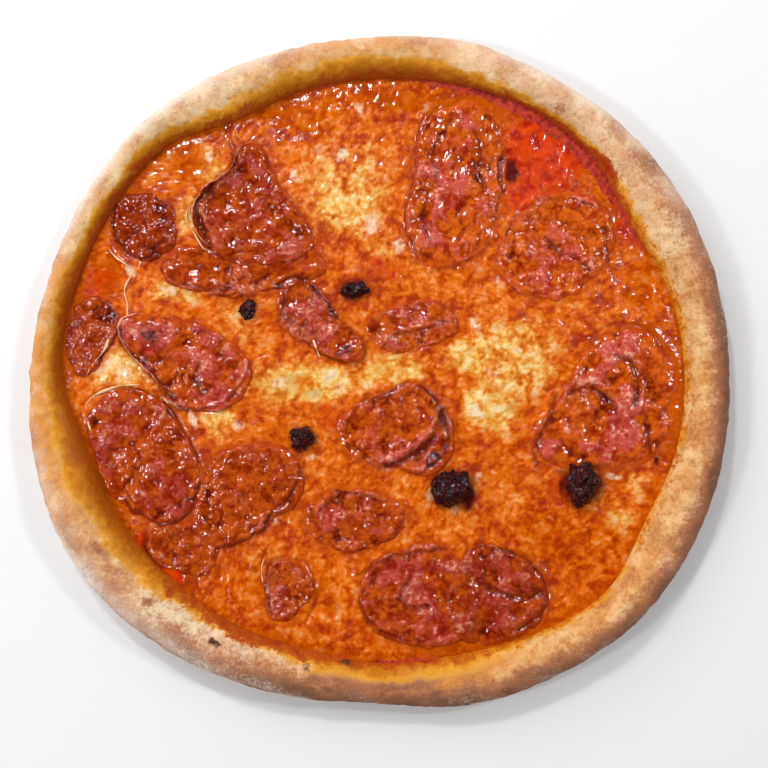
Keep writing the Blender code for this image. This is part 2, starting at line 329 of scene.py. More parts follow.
class Graph:
    """Node tree written as sums and mixes of its sockets."""

    def __init__(self, tree: bpy.types.NodeTree) -> None:
        """Start on a tree that may be empty."""
        self.tree = tree

    def node(self, kind: str, **settings: object) -> bpy.types.Node:
        """Add a node of a kind and set its properties.

        Args:
            kind: Type of the node.
            settings: Its properties.

        Returns:
            The node.
        """
        made = self.tree.nodes.new(kind)
        for key, value in settings.items():
            setattr(made, key, value)
        return made

    def feed(self, socket: bpy.types.NodeSocket, value: Feed) -> None:
        """Link a socket to another one, or set its own value.

        Args:
            socket: The input to feed.
            value: The output to link it to, or its value.
        """
        if isinstance(value, bpy.types.NodeSocket):
            self.tree.links.new(value, socket)
        else:
            socket.default_value = value

    def call(self, kind: str, feeds: dict, out: str | int = 0, **settings: object) -> bpy.types.NodeSocket:
        """Add a node with its inputs fed.

        Args:
            kind: Type of the node.
            feeds: Value or socket for each named or numbered input.
            out: Name or number of the output to read.
            settings: Properties of the node.

        Returns:
            The output that was asked for.
        """
        made = self.node(kind, **settings)
        for key, value in feeds.items():
            self.feed(made.inputs[key], value)
        return made.outputs[out]

    def math(self, operation: str, *values: Feed, clamp: bool = False) -> bpy.types.NodeSocket:
        """Result of a scalar operation."""
        return self.call("ShaderNodeMath", dict(enumerate(values)), operation=operation, use_clamp=clamp)

    def vector(self, operation: str, *values: Feed) -> bpy.types.NodeSocket:
        """Result of a vector operation."""
        return self.call("ShaderNodeVectorMath", dict(enumerate(values)), operation=operation)

    def scaled(self, value: Feed, factor: Feed) -> bpy.types.NodeSocket:
        """A vector times a number."""
        return self.call("ShaderNodeVectorMath", {0: value, "Scale": factor}, operation="SCALE")

    def total(self, base: Feed, *parts: tuple[Feed, float]) -> bpy.types.NodeSocket:
        """A base value plus each part times its weight.

        Args:
            base: The base value.
            parts: The parts, each with its weight.

        Returns:
            The sum.
        """
        for part, weight in parts:
            base = self.math("MULTIPLY_ADD", part, weight, base)
        return base

    def stretch(self, value: Feed, low: float, high: float) -> bpy.types.NodeSocket:
        """Share from 0 at low to 1 at high, with soft ends."""
        feeds = {"Value": value, "From Min": low, "From Max": high}
        return self.call("ShaderNodeMapRange", feeds, interpolation_type="SMOOTHSTEP")

    def blend(self, factor: Feed, first: Feed, second: Feed, way: str = "MIX") -> bpy.types.NodeSocket:
        """Mix of two colours."""
        feeds = {0: factor, 6: first, 7: second}
        return self.call("ShaderNodeMix", feeds, out=2, data_type="RGBA", blend_type=way)

    def laid(self, base: Feed, amount: Feed, low: float, high: float, colour: Colour) -> bpy.types.NodeSocket:
        """Base with a colour laid over it, none of it at the low amount and all of it at the high one."""
        return self.blend(self.stretch(amount, low, high), base, linear(colour))

    def ramp(self, value: Feed, stops: Sequence[tuple[float, Colour]]) -> bpy.types.NodeSocket:
        """Colour read from evenly blended stops.

        Args:
            value: Where to read it, from 0 to 1.
            stops: The place and the colour of each stop.

        Returns:
            The colour.
        """
        made = self.node("ShaderNodeValToRGB")
        elements = made.color_ramp.elements
        while len(elements) < len(stops):
            elements.new(1.0)
        for element, (place, colour) in zip(elements, stops):
            element.position = place
            element.color = linear(colour)
        self.feed(made.inputs["Fac"], value)
        return made.outputs["Color"]

    def grain(self, vector: Feed, scale: Feed, detail: float = 2, out: str = "Fac") -> bpy.types.NodeSocket:
        """Noise of a scale, in swells per metre."""
        return self.call("ShaderNodeTexNoise", {"Vector": vector, "Scale": scale, "Detail": detail}, out)

    def cells(self, vector: Feed, scale: Feed, smoothness: float) -> bpy.types.NodeSocket:
        """Distance to the middle of the nearest of many soft cells."""
        feeds = {"Vector": vector, "Scale": scale, "Smoothness": smoothness}
        return self.call("ShaderNodeTexVoronoi", feeds, "Distance", feature="SMOOTH_F1")

    def mark(self, name: str) -> bpy.types.NodeSocket:
        """Value that a mesh carries at its points."""
        return self.node("ShaderNodeAttribute", attribute_name=name).outputs["Fac"]

    def group(self, tree: bpy.types.NodeTree, **values: Feed) -> bpy.types.Node:
        """Place a node group with its inputs set. An underscore in a name stands for a space.

        Args:
            tree: The group.
            values: Value or socket for each input.

        Returns:
            The group's node.
        """
        kind = "GeometryNodeGroup" if tree.bl_idname == "GeometryNodeTree" else "ShaderNodeGroup"
        made = self.node(kind, node_tree=tree)
        for key, value in values.items():
            self.feed(made.inputs[key.replace("_", " ")], value)
        return made


def new_group(name: str, kind: str, inputs: dict[str, tuple], outputs: dict[str, str]) -> tuple:
    """Start a node group with a named interface.

    Args:
        name: Name of the group.
        kind: ShaderNodeTree or GeometryNodeTree.
        inputs: Type of socket and starting value of each input.
        outputs: Type of socket of each output.

    Returns:
        The graph of the group, the sockets that bring its inputs, and its output node.
    """
    tree = bpy.data.node_groups.new(name, kind)
    for key, (socket_type, value) in inputs.items():
        socket = tree.interface.new_socket(key, in_out="INPUT", socket_type="NodeSocket" + socket_type)
        if value is not None:
            socket.default_value = value
    for key, socket_type in outputs.items():
        tree.interface.new_socket(key, in_out="OUTPUT", socket_type="NodeSocket" + socket_type)
    graph = Graph(tree)
    return graph, graph.node("NodeGroupInput").outputs, graph.node("NodeGroupOutput")


@lru_cache
def food_mottle() -> bpy.types.NodeTree:
    """Shader group: broad, middle and fine patches that all baked food has, each from 0 to 1.

    Returns:
        The group, built once.
    """
    inputs = {"Vector": ("Vector", None), "Size": ("Float", 0.01), "Seed": ("Float", 0.0)}
    outputs = {"Broad": "Float", "Middle": "Float", "Fine": "Float", "Cells": "Float"}
    graph, given, result = new_group("food_mottle", "ShaderNodeTree", inputs, outputs)
    shift = graph.call("ShaderNodeCombineXYZ", {2: given["Seed"]})
    place = graph.vector("ADD", graph.vector("DIVIDE", given["Vector"], given["Size"]), shift)
    ripple = graph.grain(place, 1.7, 1, "Color")
    bent = graph.vector("ADD", place, graph.scaled(graph.vector("SUBTRACT", ripple, (0.5, 0.5, 0.5)), 0.5))
    graph.feed(result.inputs["Broad"], graph.stretch(graph.grain(bent, 1.0, 2), 0.28, 0.72))
    graph.feed(result.inputs["Middle"], graph.stretch(graph.grain(bent, 2.9, 3), 0.3, 0.7))
    graph.feed(result.inputs["Fine"], graph.stretch(graph.grain(place, 8.5, 3), 0.3, 0.7))
    graph.feed(result.inputs["Cells"], graph.stretch(graph.cells(bent, 4.4, 0.3), 0.62, 0.12))
    return graph.tree


@lru_cache
def food_surface() -> bpy.types.NodeTree:
    """Shader group: fine pits and beads, smoothed where the surface is wet, with its roughness.

    Returns:
        The group, built once.
    """
    inputs = {
        "Vector": ("Vector", None),
        "Grain Size": ("Float", 0.001),
        "Depth": ("Float", 0.0001),
        "Wetness": ("Float", 0.5),
        "Dry Roughness": ("Float", 0.6),
        "Wet Roughness": ("Float", 0.15),
    }
    outputs = {"Normal": "Vector", "Roughness": "Float"}
    graph, given, result = new_group("food_surface", "ShaderNodeTree", inputs, outputs)
    scale = graph.math("DIVIDE", 1.0, given["Grain Size"])
    beads = graph.cells(given["Vector"], scale, 0.5)
    pits = graph.grain(given["Vector"], graph.math("MULTIPLY", scale, 2.3), 2)
    height = graph.total(0.5, (beads, -0.6), (pits, 0.55))
    flat = graph.total(1.0, (given["Wetness"], -0.65))
    depth = graph.math("MULTIPLY", height, graph.math("MULTIPLY", given["Depth"], flat))
    graph.feed(result.inputs["Normal"], graph.call("ShaderNodeBump", {"Height": depth, "Distance": 1.0}))
    span = graph.math("SUBTRACT", given["Wet Roughness"], given["Dry Roughness"])
    graph.feed(
        result.inputs["Roughness"],
        graph.math("MULTIPLY_ADD", span, given["Wetness"], given["Dry Roughness"]),
    )
    return graph.tree


GEOMETRY = {"Geometry": "Geometry"}


def finish_tree(graph: Graph, result: bpy.types.Node, geometry: Feed, finish: Feed) -> None:
    """End a geometry tree in real, dressed faces.

    Args:
        graph: Graph of the tree.
        result: Its output node.
        geometry: What it has made.
        finish: The material.
    """
    real = graph.call("GeometryNodeRealizeInstances", {"Geometry": geometry})
    dressed = graph.call("GeometryNodeSetMaterial", {"Geometry": real, "Material": finish})
    graph.feed(result.inputs["Geometry"], dressed)


def stored(graph: Graph, geometry: Feed, name: str, value: Feed, domain: str = "POINT") -> Feed:
    """Write a number on each point or instance of a geometry."""
    feeds = {"Geometry": geometry, "Name": name, "Value": value}
    return graph.call("GeometryNodeStoreNamedAttribute", feeds, data_type="FLOAT", domain=domain)


def carried(graph: Graph, name: str) -> bpy.types.NodeSocket:
    """Number that the points of a geometry carry."""
    return graph.call("GeometryNodeInputNamedAttribute", {"Name": name}, "Attribute", data_type="FLOAT")


@lru_cache
def melted_relief() -> bpy.types.NodeTree:
    """Geometry tree: raises soft curds and ripples where the surface carries "relief".

    Returns:
        The tree, built once.
    """
    inputs = {
        "Geometry": ("Geometry", None),
        "Curd Size": ("Float", 0.003),
        "Curd Height": ("Float", 0.0003),
        "Ripple Size": ("Float", 0.008),
        "Ripple Height": ("Float", 0.0003),
        "Seed": ("Float", 0.0),
        "Finish": ("Material", None),
    }
    graph, given, result = new_group("melted_relief", "GeometryNodeTree", inputs, GEOMETRY)
    place = graph.node("GeometryNodeInputPosition").outputs[0]
    shift = graph.call("ShaderNodeCombineXYZ", {2: given["Seed"]})
    moved = graph.vector("ADD", place, shift)
    curd_scale = graph.math("DIVIDE", 1.0, given["Curd Size"])
    ripple_scale = graph.math("DIVIDE", 1.0, given["Ripple Size"])
    wander = graph.vector("SUBTRACT", graph.grain(moved, ripple_scale, 1, "Color"), (0.5, 0.5, 0.5))
    bent = graph.vector("ADD", moved, graph.scaled(wander, given["Curd Size"]))
    lump = graph.math("ABSOLUTE", graph.math("SUBTRACT", graph.grain(bent, curd_scale, 2), 0.5))
    curd = graph.math("MULTIPLY_ADD", lump, 5.0, -0.35)
    ripple = graph.math("SUBTRACT", graph.grain(moved, ripple_scale, 2), 0.5)
    curd_rise = graph.math("MULTIPLY", curd, graph.math("MULTIPLY", given["Curd Height"], 2.0))
    ripple_rise = graph.math("MULTIPLY", ripple, graph.math("MULTIPLY", given["Ripple Height"], 3.0))
    rise = graph.math("MULTIPLY", graph.math("ADD", curd_rise, ripple_rise), carried(graph, "relief"))
    offset = graph.scaled(graph.node("GeometryNodeInputNormal").outputs[0], rise)
    share = graph.math("MULTIPLY_ADD", curd, 1.4, 0.5, clamp=True)
    marked = stored(graph, given["Geometry"], "curd", share)
    raised = graph.call("GeometryNodeSetPosition", {"Geometry": marked, "Offset": offset})
    finish_tree(graph, result, raised, given["Finish"])
    return graph.tree


@lru_cache
def scattered_bits() -> bpy.types.NodeTree:
    """Geometry tree: half-sunk bits, strewn where the surface carries "bits".

    Returns:
        The tree, built once.
    """
    inputs = {
        "Geometry": ("Geometry", None),
        "Density": ("Float", 100000.0),
        "Size": ("Float", 0.0006),
        "Spread": ("Float", 0.5),
        "Flatness": ("Float", 0.6),
        "Seed": ("Int", 0),
        "Finish": ("Material", None),
    }
    graph, given, result = new_group("scattered_bits", "GeometryNodeTree", inputs, GEOMETRY)
    density = graph.math("MULTIPLY", given["Density"], carried(graph, "bits"))
    strewn = graph.node("GeometryNodeDistributePointsOnFaces")
    for key, value in {"Mesh": given["Geometry"], "Density": density, "Seed": given["Seed"]}.items():
        graph.feed(strewn.inputs[key], value)
    ball = graph.call("GeometryNodeMeshIcoSphere", {"Radius": 1.0, "Subdivisions": 1}, "Mesh")
    smooth = graph.call("GeometryNodeSetShadeSmooth", {"Geometry": ball})
    least = graph.math("SUBTRACT", 1.0, given["Spread"])
    draw = {"Min": least, "Max": 1.0, "Seed": given["Seed"]}
    share = graph.node("FunctionNodeRandomValue", data_type="FLOAT")
    for socket in share.inputs:
        if socket.enabled and socket.name in draw:
            graph.feed(socket, draw[socket.name])
    picked = next(socket for socket in share.outputs if socket.enabled)
    size = graph.math("MULTIPLY", given["Size"], picked)
    shape = graph.call("ShaderNodeCombineXYZ", {0: 1.0, 1: 0.8, 2: given["Flatness"]})
    placed = graph.call(
        "GeometryNodeInstanceOnPoints",
        {
            "Points": strewn.outputs["Points"],
            "Instance": smooth,
            "Rotation": strewn.outputs["Rotation"],
            "Scale": graph.scaled(shape, size),
        },
    )
    tinted = stored(graph, placed, "tint", picked, "INSTANCE")
    finish_tree(graph, result, tinted, given["Finish"])
    return graph.tree


def grown(mesh: bpy.types.Mesh, tree: bpy.types.NodeTree, **values: object) -> bpy.types.Mesh:
    """Run a geometry tree over a mesh.

    Args:
        mesh: The mesh to start from, which is left as it is.
        tree: The geometry tree.
        values: Value of each named input. An underscore stands for a space.

    Returns:
        A plain mesh with the result.
    """
    holder = bpy.data.objects.new("grown", mesh)
    bpy.context.scene.collection.objects.link(holder)
    modifier = holder.modifiers.new("grown", "NODES")
    modifier.node_group = tree
    sockets = {item.name: item.identifier for item in tree.interface.items_tree if item.in_out == "INPUT"}
    for key, value in values.items():
        modifier[sockets[key.replace("_", " ")]] = value
    made = bpy.data.meshes.new_from_object(holder.evaluated_get(bpy.context.evaluated_depsgraph_get()))
    bpy.data.objects.remove(holder)
    return made


def mesh_of(points: Values, faces: list, marks: dict[str, Values]) -> bpy.types.Mesh:
    """Smooth mesh that carries numbers at its points.

    Args:
        points: One row of X, Y and Z for each point.
        faces: Point numbers of each face, counter-clockwise from outside.
        marks: One number a point, under each name.

    Returns:
        The mesh.
    """
    mesh = bpy.data.meshes.new("food")
    mesh.from_pydata(points.tolist(), [], faces)
    for name, numbers in marks.items():
        layer = mesh.attributes.new(name, "FLOAT", "POINT")
        layer.data.foreach_set("value", np.asarray(numbers, np.float32))
    mesh.shade_smooth()
    return mesh


@dataclass(frozen=True)
class Relief:
    """Soft curds and ripples of a surface: their sizes and heights in metres, and their pattern."""

    curd_size: float
    curd_height: float
    ripple_size: float
    ripple_height: float
    seed: float

    def over(
        self, points: Values, faces: list, marks: dict[str, Values], finish: bpy.types.Material
    ) -> bpy.types.Mesh:
        """Make a dressed mesh with this relief.

        Args:
            points: One row of X, Y and Z for each point.
            faces: Point numbers of each face, counter-clockwise from outside.
            marks: One number a point, under each name.
            finish: The material.

        Returns:
            The mesh.
        """
        return grown(
            mesh_of(points, faces, marks), melted_relief(), Curd_Size=self.curd_size,
            Curd_Height=self.curd_height, Ripple_Size=self.ripple_size, Ripple_Height=self.ripple_height,
            Seed=self.seed, Finish=finish,
        )


def piece(name: str, mesh: bpy.types.Mesh, slot: Slot, *nodes: str) -> bpy.types.Object:
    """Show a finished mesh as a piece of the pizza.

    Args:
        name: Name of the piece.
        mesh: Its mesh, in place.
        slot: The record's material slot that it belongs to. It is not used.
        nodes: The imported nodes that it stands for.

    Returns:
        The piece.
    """
    mesh.name = name
    made = bpy.data.objects.new(name, mesh)
    bpy.context.scene.collection.objects.link(made)
    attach(made, BODY)
    if nodes:
        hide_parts(*nodes)
    log.info("%s: %d faces", name, len(mesh.polygons))
    return made


@dataclass(frozen=True, kw_only=True)
class Finish:
    """Base of the finishes: what every baked surface shares.

    The grain is the size of its pits and the depth is how deep they are, in metres. Dry and wet are
    how rough its matt and its oily parts are.
    """

    name: str
    grain: float
    depth: float
    dry: float
    wet: float
    specular: float = 0.5
    coat: float = 0.0
    coat_roughness: float = 0.03

    def paint(self, graph: Graph, place: Feed) -> tuple[Feed, Feed]:
        """Mix the colour and the wetness.

        Args:
            graph: Graph of the material.
            place: Place on the food, in metres.

        Returns:
            The colour, and the wetness from 0 to 1.
        """
        raise NotImplementedError

    def material(self) -> bpy.types.Material:
        """Build the material.

        Returns:
            The material.
        """
        made = bpy.data.materials.new(self.name)
        made.use_nodes = True
        graph = Graph(made.node_tree)
        place = graph.node("ShaderNodeTexCoord").outputs["Object"]
        colour, wetness = self.paint(graph, place)
        surface = graph.group(
            food_surface(), Vector=place, Grain_Size=self.grain, Depth=self.depth, Wetness=wetness,
            Dry_Roughness=self.dry, Wet_Roughness=self.wet,
        )
        roughness = surface.outputs["Roughness"]
        if isinstance(wetness, float):
            roughness = self.dry + (self.wet - self.dry) * wetness
        shader = made.node_tree.nodes["Principled BSDF"]
        feeds = {
            "Base Color": colour,
            "Roughness": roughness,
            "Normal": surface.outputs["Normal"],
            "Specular IOR Level": self.specular,
            "Coat Weight": self.coat,
            "Coat Roughness": self.coat_roughness,
        }
        for key, value in feeds.items():
            graph.feed(shader.inputs[key], value)
        return made


@dataclass(frozen=True, kw_only=True)
class DoughFinish(Finish):
    """Baked dough: pale and floury, browned in patches, stained with oil on its inner slope, with painted
    shade in its browning on the outer slope and on the right and lower side.
    """

    name: str = "baked_dough"
    grain: float = 0.001
    depth: float = 0.00026
    dry: float = 0.78
    wet: float = 0.42
    specular: float = 0.15
    cream: Colour = (232, 204, 170)
    butter: Colour = (238, 200, 130)
    pink: Colour = (214, 172, 142)
    gold: Colour = (212, 138, 58)
    # Browning colours, the second one for the deepest browning; both also paint shade on the rim's outer
    # slope and its right and lower side.
    toast_and_shade: Colour = (172, 108, 74)
    darkest_browning_and_shade: Colour = (128, 86, 64)
    oil: tuple[tuple[float, Colour], ...] = (
        (0.0, (232, 178, 88)),
        (0.3, (220, 148, 38)),
        (0.62, (194, 116, 16)),
        (1.0, (168, 82, 4)),
    )
    ember: Colour = (176, 76, 18)
    juice: Colour = (150, 30, 14)
    flour: Colour = (233, 215, 196)
    char: Colour = (84, 50, 30)

    def paint(self, graph: Graph, place: Feed) -> tuple[Feed, Feed]:
        """Mix the colour and the wetness, as the base of the finishes says.

        Args:
            graph: Graph of the material.
            place: Place on the food, in metres.

        Returns:
            The colour, and the wetness from 0 to 1.
        """
        mottle = graph.group(food_mottle(), Vector=place, Size=0.012, Seed=1.0)
        broad, middle, fine, cells = mottle.outputs
        base = graph.blend(graph.stretch(broad, 0.2, 0.8), linear(self.cream), linear(self.pink))
        base = graph.blend(graph.math("MULTIPLY", graph.mark("inner"), 0.8), base, linear(self.butter))
        gold = graph.total(-0.25, (graph.mark("gold"), 1.0), (broad, 0.3), (middle, 0.25))
        base = graph.laid(base, gold, -0.1, 0.95, self.gold)
        # The browning mark is partly painted shade: the rim's outer slope and its right and lower side are
        # darkened with these colours.
        toast_and_shade = graph.total(-0.5, (graph.mark("toast_and_shade"), 1.2), (broad, 0.26), (middle, 0.22), (fine, 0.34))
        base = graph.laid(base, toast_and_shade, 0.0, 0.85, self.toast_and_shade)
        base = graph.laid(base, toast_and_shade, 0.6, 1.4, self.darkest_browning_and_shade)
        grainy = graph.total(-0.3, (fine, 0.7), (cells, 0.4), (graph.mark("inner"), -0.4))
        grainy = graph.math("MULTIPLY", graph.stretch(grainy, 0.0, 0.7), 0.35)
        base = graph.blend(grainy, base, linear(self.toast_and_shade))
        powder = graph.grain(place, 1500.0, 2)
        dust = graph.total(-0.9, (graph.mark("flour"), 1.1), (fine, 0.3), (middle, 0.2), (powder, 0.7))
        base = graph.laid(base, dust, 0.0, 1.0, self.flour)
        oil = graph.total(-0.4, (graph.mark("oil"), 1.3), (middle, 0.2), (fine, 0.12), (broad, 0.16))
        oily = graph.stretch(oil, 0.02, 0.4)
        base = graph.blend(oily, base, graph.ramp(oil, self.oil))
        juice = graph.total(-0.3, (graph.mark("juice"), 1.3), (middle, 0.3), (fine, 0.2))
        base = graph.laid(base, juice, 0.05, 0.45, self.ember)
        base = graph.laid(base, juice, 0.45, 0.9, self.juice)
        char = graph.total(-0.45, (graph.mark("char"), 1.3), (fine, 0.45), (middle, 0.2))
        base = graph.laid(base, char, 0.1, 1.1, self.char)
        return base, oily


@dataclass(frozen=True, kw_only=True)
class SauceFinish(Finish):
    """Tomato sauce: matt crimson with oily orange runs."""

    name: str = "tomato_sauce"
    grain: float = 0.0015
    depth: float = 0.00022
    dry: float = 0.55
    wet: float = 0.2
    specular: float = 0.25
    coat: float = 0.3
    coat_roughness: float = 0.12
    dark: Colour = (132, 22, 16)
    red: Colour = (202, 60, 32)
    orange: Colour = (196, 80, 8)

    def paint(self, graph: Graph, place: Feed) -> tuple[Feed, Feed]:
        """Mix the colour and the wetness, as the base of the finishes says.

        Args:
            graph: Graph of the material.
            place: Place on the food, in metres.

        Returns:
            The colour, and the wetness from 0 to 1.
        """
        broad, middle, *_ = graph.group(food_mottle(), Vector=place, Size=0.006, Seed=7.0).outputs
        base = graph.blend(middle, linear(self.dark), linear(self.red))
        oil = graph.total(-0.2, (graph.mark("oil"), 1.2), (broad, 0.4))
        oily = graph.stretch(oil, 0.1, 0.8)
        return graph.blend(oily, base, linear(self.orange)), oily


@dataclass(frozen=True, kw_only=True)
class CheeseFinish(Finish):
    """Melted cheese: cream curds in orange fat, with red specks, under a film of oil."""

    name: str = "melted_cheese"
    grain: float = 0.0022
    depth: float = 0.0003
    dry: float = 0.36
    wet: float = 0.14
    specular: float = 0.3
    coat: float = 0.6
    coat_roughness: float = 0.06
    fatty: tuple[tuple[float, Colour], ...] = (
        (0.0, (156, 40, 0)),
        (0.28, (196, 76, 0)),
        (0.55, (220, 102, 4)),
        (0.75, (228, 122, 40)),
        (0.9, (238, 150, 80)),
        (1.0, (244, 180, 118)),
    )
    milky: tuple[tuple[float, Colour], ...] = (
        (0.0, (186, 80, 2)),
        (0.25, (214, 118, 16)),
        (0.5, (230, 152, 58)),
        (0.7, (238, 182, 94)),
        (0.88, (246, 208, 134)),
        (1.0, (250, 226, 180)),
    )
    pool: Colour = (188, 84, 0)
    olive: Colour = (196, 146, 64)
    pink: Colour = (228, 142, 110)
    white: Colour = (244, 214, 178)
    red_light: Colour = (228, 66, 2)
    red_deep: Colour = (160, 20, 4)
    shade: Colour = (140, 34, 2)
    juice: Colour = (92, 8, 6)

    def paint(self, graph: Graph, place: Feed) -> tuple[Feed, Feed]:
        """Mix the colour and the wetness, as the base of the finishes says.

        Args:
            graph: Graph of the material.
            place: Place on the food, in metres.

        Returns:
            The colour, and the wetness from 0 to 1.
        """
        mottle = graph.group(food_mottle(), Vector=place, Size=0.016, Seed=3.0)
        broad, middle, fine, cells = mottle.outputs
        drift = graph.group(food_mottle(), Vector=place, Size=0.021, Seed=13.0).outputs
        pale, pool, red, juice, stain = (graph.mark(k) for k in ("pale", "pool", "red", "juice", "stain"))
        light = graph.total(
            -0.06, (broad, 0.2), (middle, 0.34), (fine, 0.12), (cells, 0.12), (graph.mark("curd"), 0.2),
            (drift["Middle"], 0.16), (pale, 0.08), (pool, -0.1), (stain, -0.12),
        )
        tone = graph.stretch(light, 0.08, 0.92)
        milk = graph.total(
            -0.47, (pale, 0.9), (broad, 0.22), (drift["Middle"], 0.3), (fine, 0.14), (pool, -0.3)
        )
        milky = graph.stretch(milk, 0.0, 0.75)
        base = graph.blend(milky, graph.ramp(tone, self.fatty), graph.ramp(tone, self.milky))
        olive = graph.total(-0.75, (pale, 0.5), (drift["Broad"], 0.45), (middle, 0.35))
        base = graph.laid(base, olive, 0.0, 0.8, self.olive)
        pink = graph.total(-0.82, (cells, 0.45), (drift["Middle"], 0.4), (fine, 0.4))
        base = graph.laid(base, pink, 0.0, 0.6, self.pink)
        white = graph.total(-0.4, (graph.mark("white"), 0.9), (fine, 0.35), (middle, 0.15))
        base = graph.laid(base, white, 0.0, 0.8, self.white)
        moat = graph.total(-0.15, (pool, 0.65), (stain, 0.55), (drift["Middle"], 0.2))
        base = graph.laid(base, moat, 0.0, 1.1, self.pool)
        reds = graph.total(
            -0.5, (red, 0.85), (middle, 0.45), (drift["Middle"], 0.25), (fine, 0.15), (pale, -0.1)
        )
        hue = graph.blend(graph.stretch(middle, -0.1, 1.3), linear(self.red_light), linear(self.red_deep))
        base = graph.blend(graph.stretch(reds, 0.05, 0.75), base, hue)
        shade = graph.math("MULTIPLY", graph.mark("shade"), 0.8, clamp=True)
        base = graph.blend(shade, base, linear(self.shade))
        dark = graph.total(-0.35, (juice, 1.2), (middle, 0.35), (fine, 0.2))
        base = graph.laid(base, dark, 0.0, 1.0, self.juice)
        wet = graph.total(0.25, (pool, 0.7), (broad, 0.25), (pale, -0.1))
        return base, graph.stretch(wet, 0, 1)


@dataclass(frozen=True, kw_only=True)
class SalamiFinish(Finish):
    """Baked salami: purple meat and pink fat under a film of orange oil, with painted shade in its hollows
    and folds.
    """

    name: str = "salami"
    grain: float = 0.0015
    depth: float = 0.00034
    dry: float = 0.36
    wet: float = 0.14
    specular: float = 0.3
    coat: float = 0.6
    coat_roughness: float = 0.06
    meat: Colour = (158, 34, 10)
    purple: Colour = (200, 80, 62)
    fat: Colour = (238, 158, 126)
    film: Colour = (214, 98, 12)
    film_deep: Colour = (152, 44, 2)
    outline: Colour = (204, 72, 12)
    shade: Colour = (88, 8, 2)
    baked: Colour = (196, 158, 110)
    char: Colour = (66, 20, 26)

    def paint(self, graph: Graph, place: Feed) -> tuple[Feed, Feed]:
        """Mix the colour and the wetness, as the base of the finishes says.

        Args:
            graph: Graph of the material.
            place: Place on the food, in metres.

        Returns:
            The colour, and the wetness from 0 to 1.
        """
        mottle = graph.group(food_mottle(), Vector=place, Size=0.016, Seed=5.0)
        broad, middle, fine, cells = mottle.outputs
        drift = graph.group(food_mottle(), Vector=place, Size=0.022, Seed=15.0).outputs
        lip, charred, curd, hollow = (graph.mark(k) for k in ("lip", "char", "curd", "hollow"))
        meaty = graph.total(
            0.2, (middle, 0.5), (fine, 0.3), (drift["Middle"], 0.3), (lip, 0.5), (hollow, -0.6)
        )
        base = graph.blend(graph.stretch(meaty, 0.15, 0.85), linear(self.meat), linear(self.purple))
        fat = graph.total(
            -0.52, (cells, 0.34), (fine, 0.42), (drift["Middle"], 0.3), (lip, 0.4), (curd, 0.22),
            (hollow, -0.5),
        )
        base = graph.laid(base, fat, 0.0, 0.55, self.fat)
        oil = graph.total(
            -0.68, (broad, 0.7), (drift["Broad"], 0.4), (drift["Middle"], -0.35), (lip, -0.5),
            (fine, -0.12), (graph.mark("oil"), 0.9), (hollow, 0.6),
        )
        deep = graph.total(-0.05, (middle, 0.5), (fine, 0.3), (curd, 0.35))
        film = graph.blend(graph.stretch(deep, 0.1, 0.9), linear(self.film_deep), linear(self.film))
        oily = graph.stretch(oil, -0.05, 0.45)
        base = graph.blend(graph.math("MULTIPLY", oily, 0.88), base, film)
        # Painted shade in the hollows between the wrinkles.
        painted_hollow_shade = graph.total(-0.5, (hollow, 1.0), (middle, -0.3), (curd, -0.25))
        base = graph.laid(base, painted_hollow_shade, -0.05, 0.6, self.shade)
        base = graph.blend(graph.math("MULTIPLY", graph.mark("outline"), 0.6), base, linear(self.outline))
        shade = graph.math("MULTIPLY", graph.mark("shade"), 0.9, clamp=True)
        base = graph.blend(shade, base, linear(self.shade))
        base = graph.blend(graph.mark("baked"), base, linear(self.baked), "MULTIPLY")
        burnt = graph.total(-0.8, (charred, 1.15), (middle, 0.5), (fine, 0.5))
        base = graph.laid(base, burnt, 0.1, 0.9, self.char)
        wet = graph.total(0.25, (oily, 0.75), (burnt, -0.8))
        return base, graph.stretch(wet, 0, 1)


@dataclass(frozen=True, kw_only=True)
class BitFinish(Finish):
    """Small bits of one kind, from a darker to a lighter colour."""

    darker: Colour
    lighter: Colour
    wetness: float
    grain: float = 0.0007
    depth: float = 0.00006
    dry: float = 0.6
    wet: float = 0.1

    def paint(self, graph: Graph, place: Feed) -> tuple[Feed, Feed]:
        """Mix the colour and the wetness, as the base of the finishes says.

        Args:
            graph: Graph of the material.
            place: Place on the food, in metres.

        Returns:
            The colour, and the wetness from 0 to 1.
        """
        fine = graph.grain(place, 900.0, 2)
        tone = graph.total(-0.4, (graph.mark("tint"), 0.7), (fine, 0.8))
        base = graph.blend(graph.stretch(tone, 0.0, 0.8), linear(self.darker), linear(self.lighter))
        return base, self.wetness


@dataclass(frozen=True, kw_only=True)
class SausageFinish(Finish):
    """Charred sausage: nearly black crumbs with dark red juice between them."""

    name: str = "charred_sausage"
    grain: float = 0.0009
    depth: float = 0.00016
    dry: float = 0.5
    wet: float = 0.2
    specular: float = 0.2
    coat: float = 0.5
    coat_roughness: float = 0.05
    black: Colour = (14, 2, 6)
    maroon: Colour = (100, 14, 24)

    def paint(self, graph: Graph, place: Feed) -> tuple[Feed, Feed]:
        """Mix the colour and the wetness, as the base of the finishes says.

        Args:
            graph: Graph of the material.
            place: Place on the food, in metres.

        Returns:
            The colour, and the wetness from 0 to 1.
        """
        broad, middle, fine, _ = graph.group(food_mottle(), Vector=place, Size=0.004, Seed=9.0).outputs
        tone = graph.total(-0.35, (middle, 0.7), (fine, 0.4), (graph.mark("curd"), -0.3))
        base = graph.blend(graph.stretch(tone, 0.0, 0.7), linear(self.black), linear(self.maroon))
        return base, broad


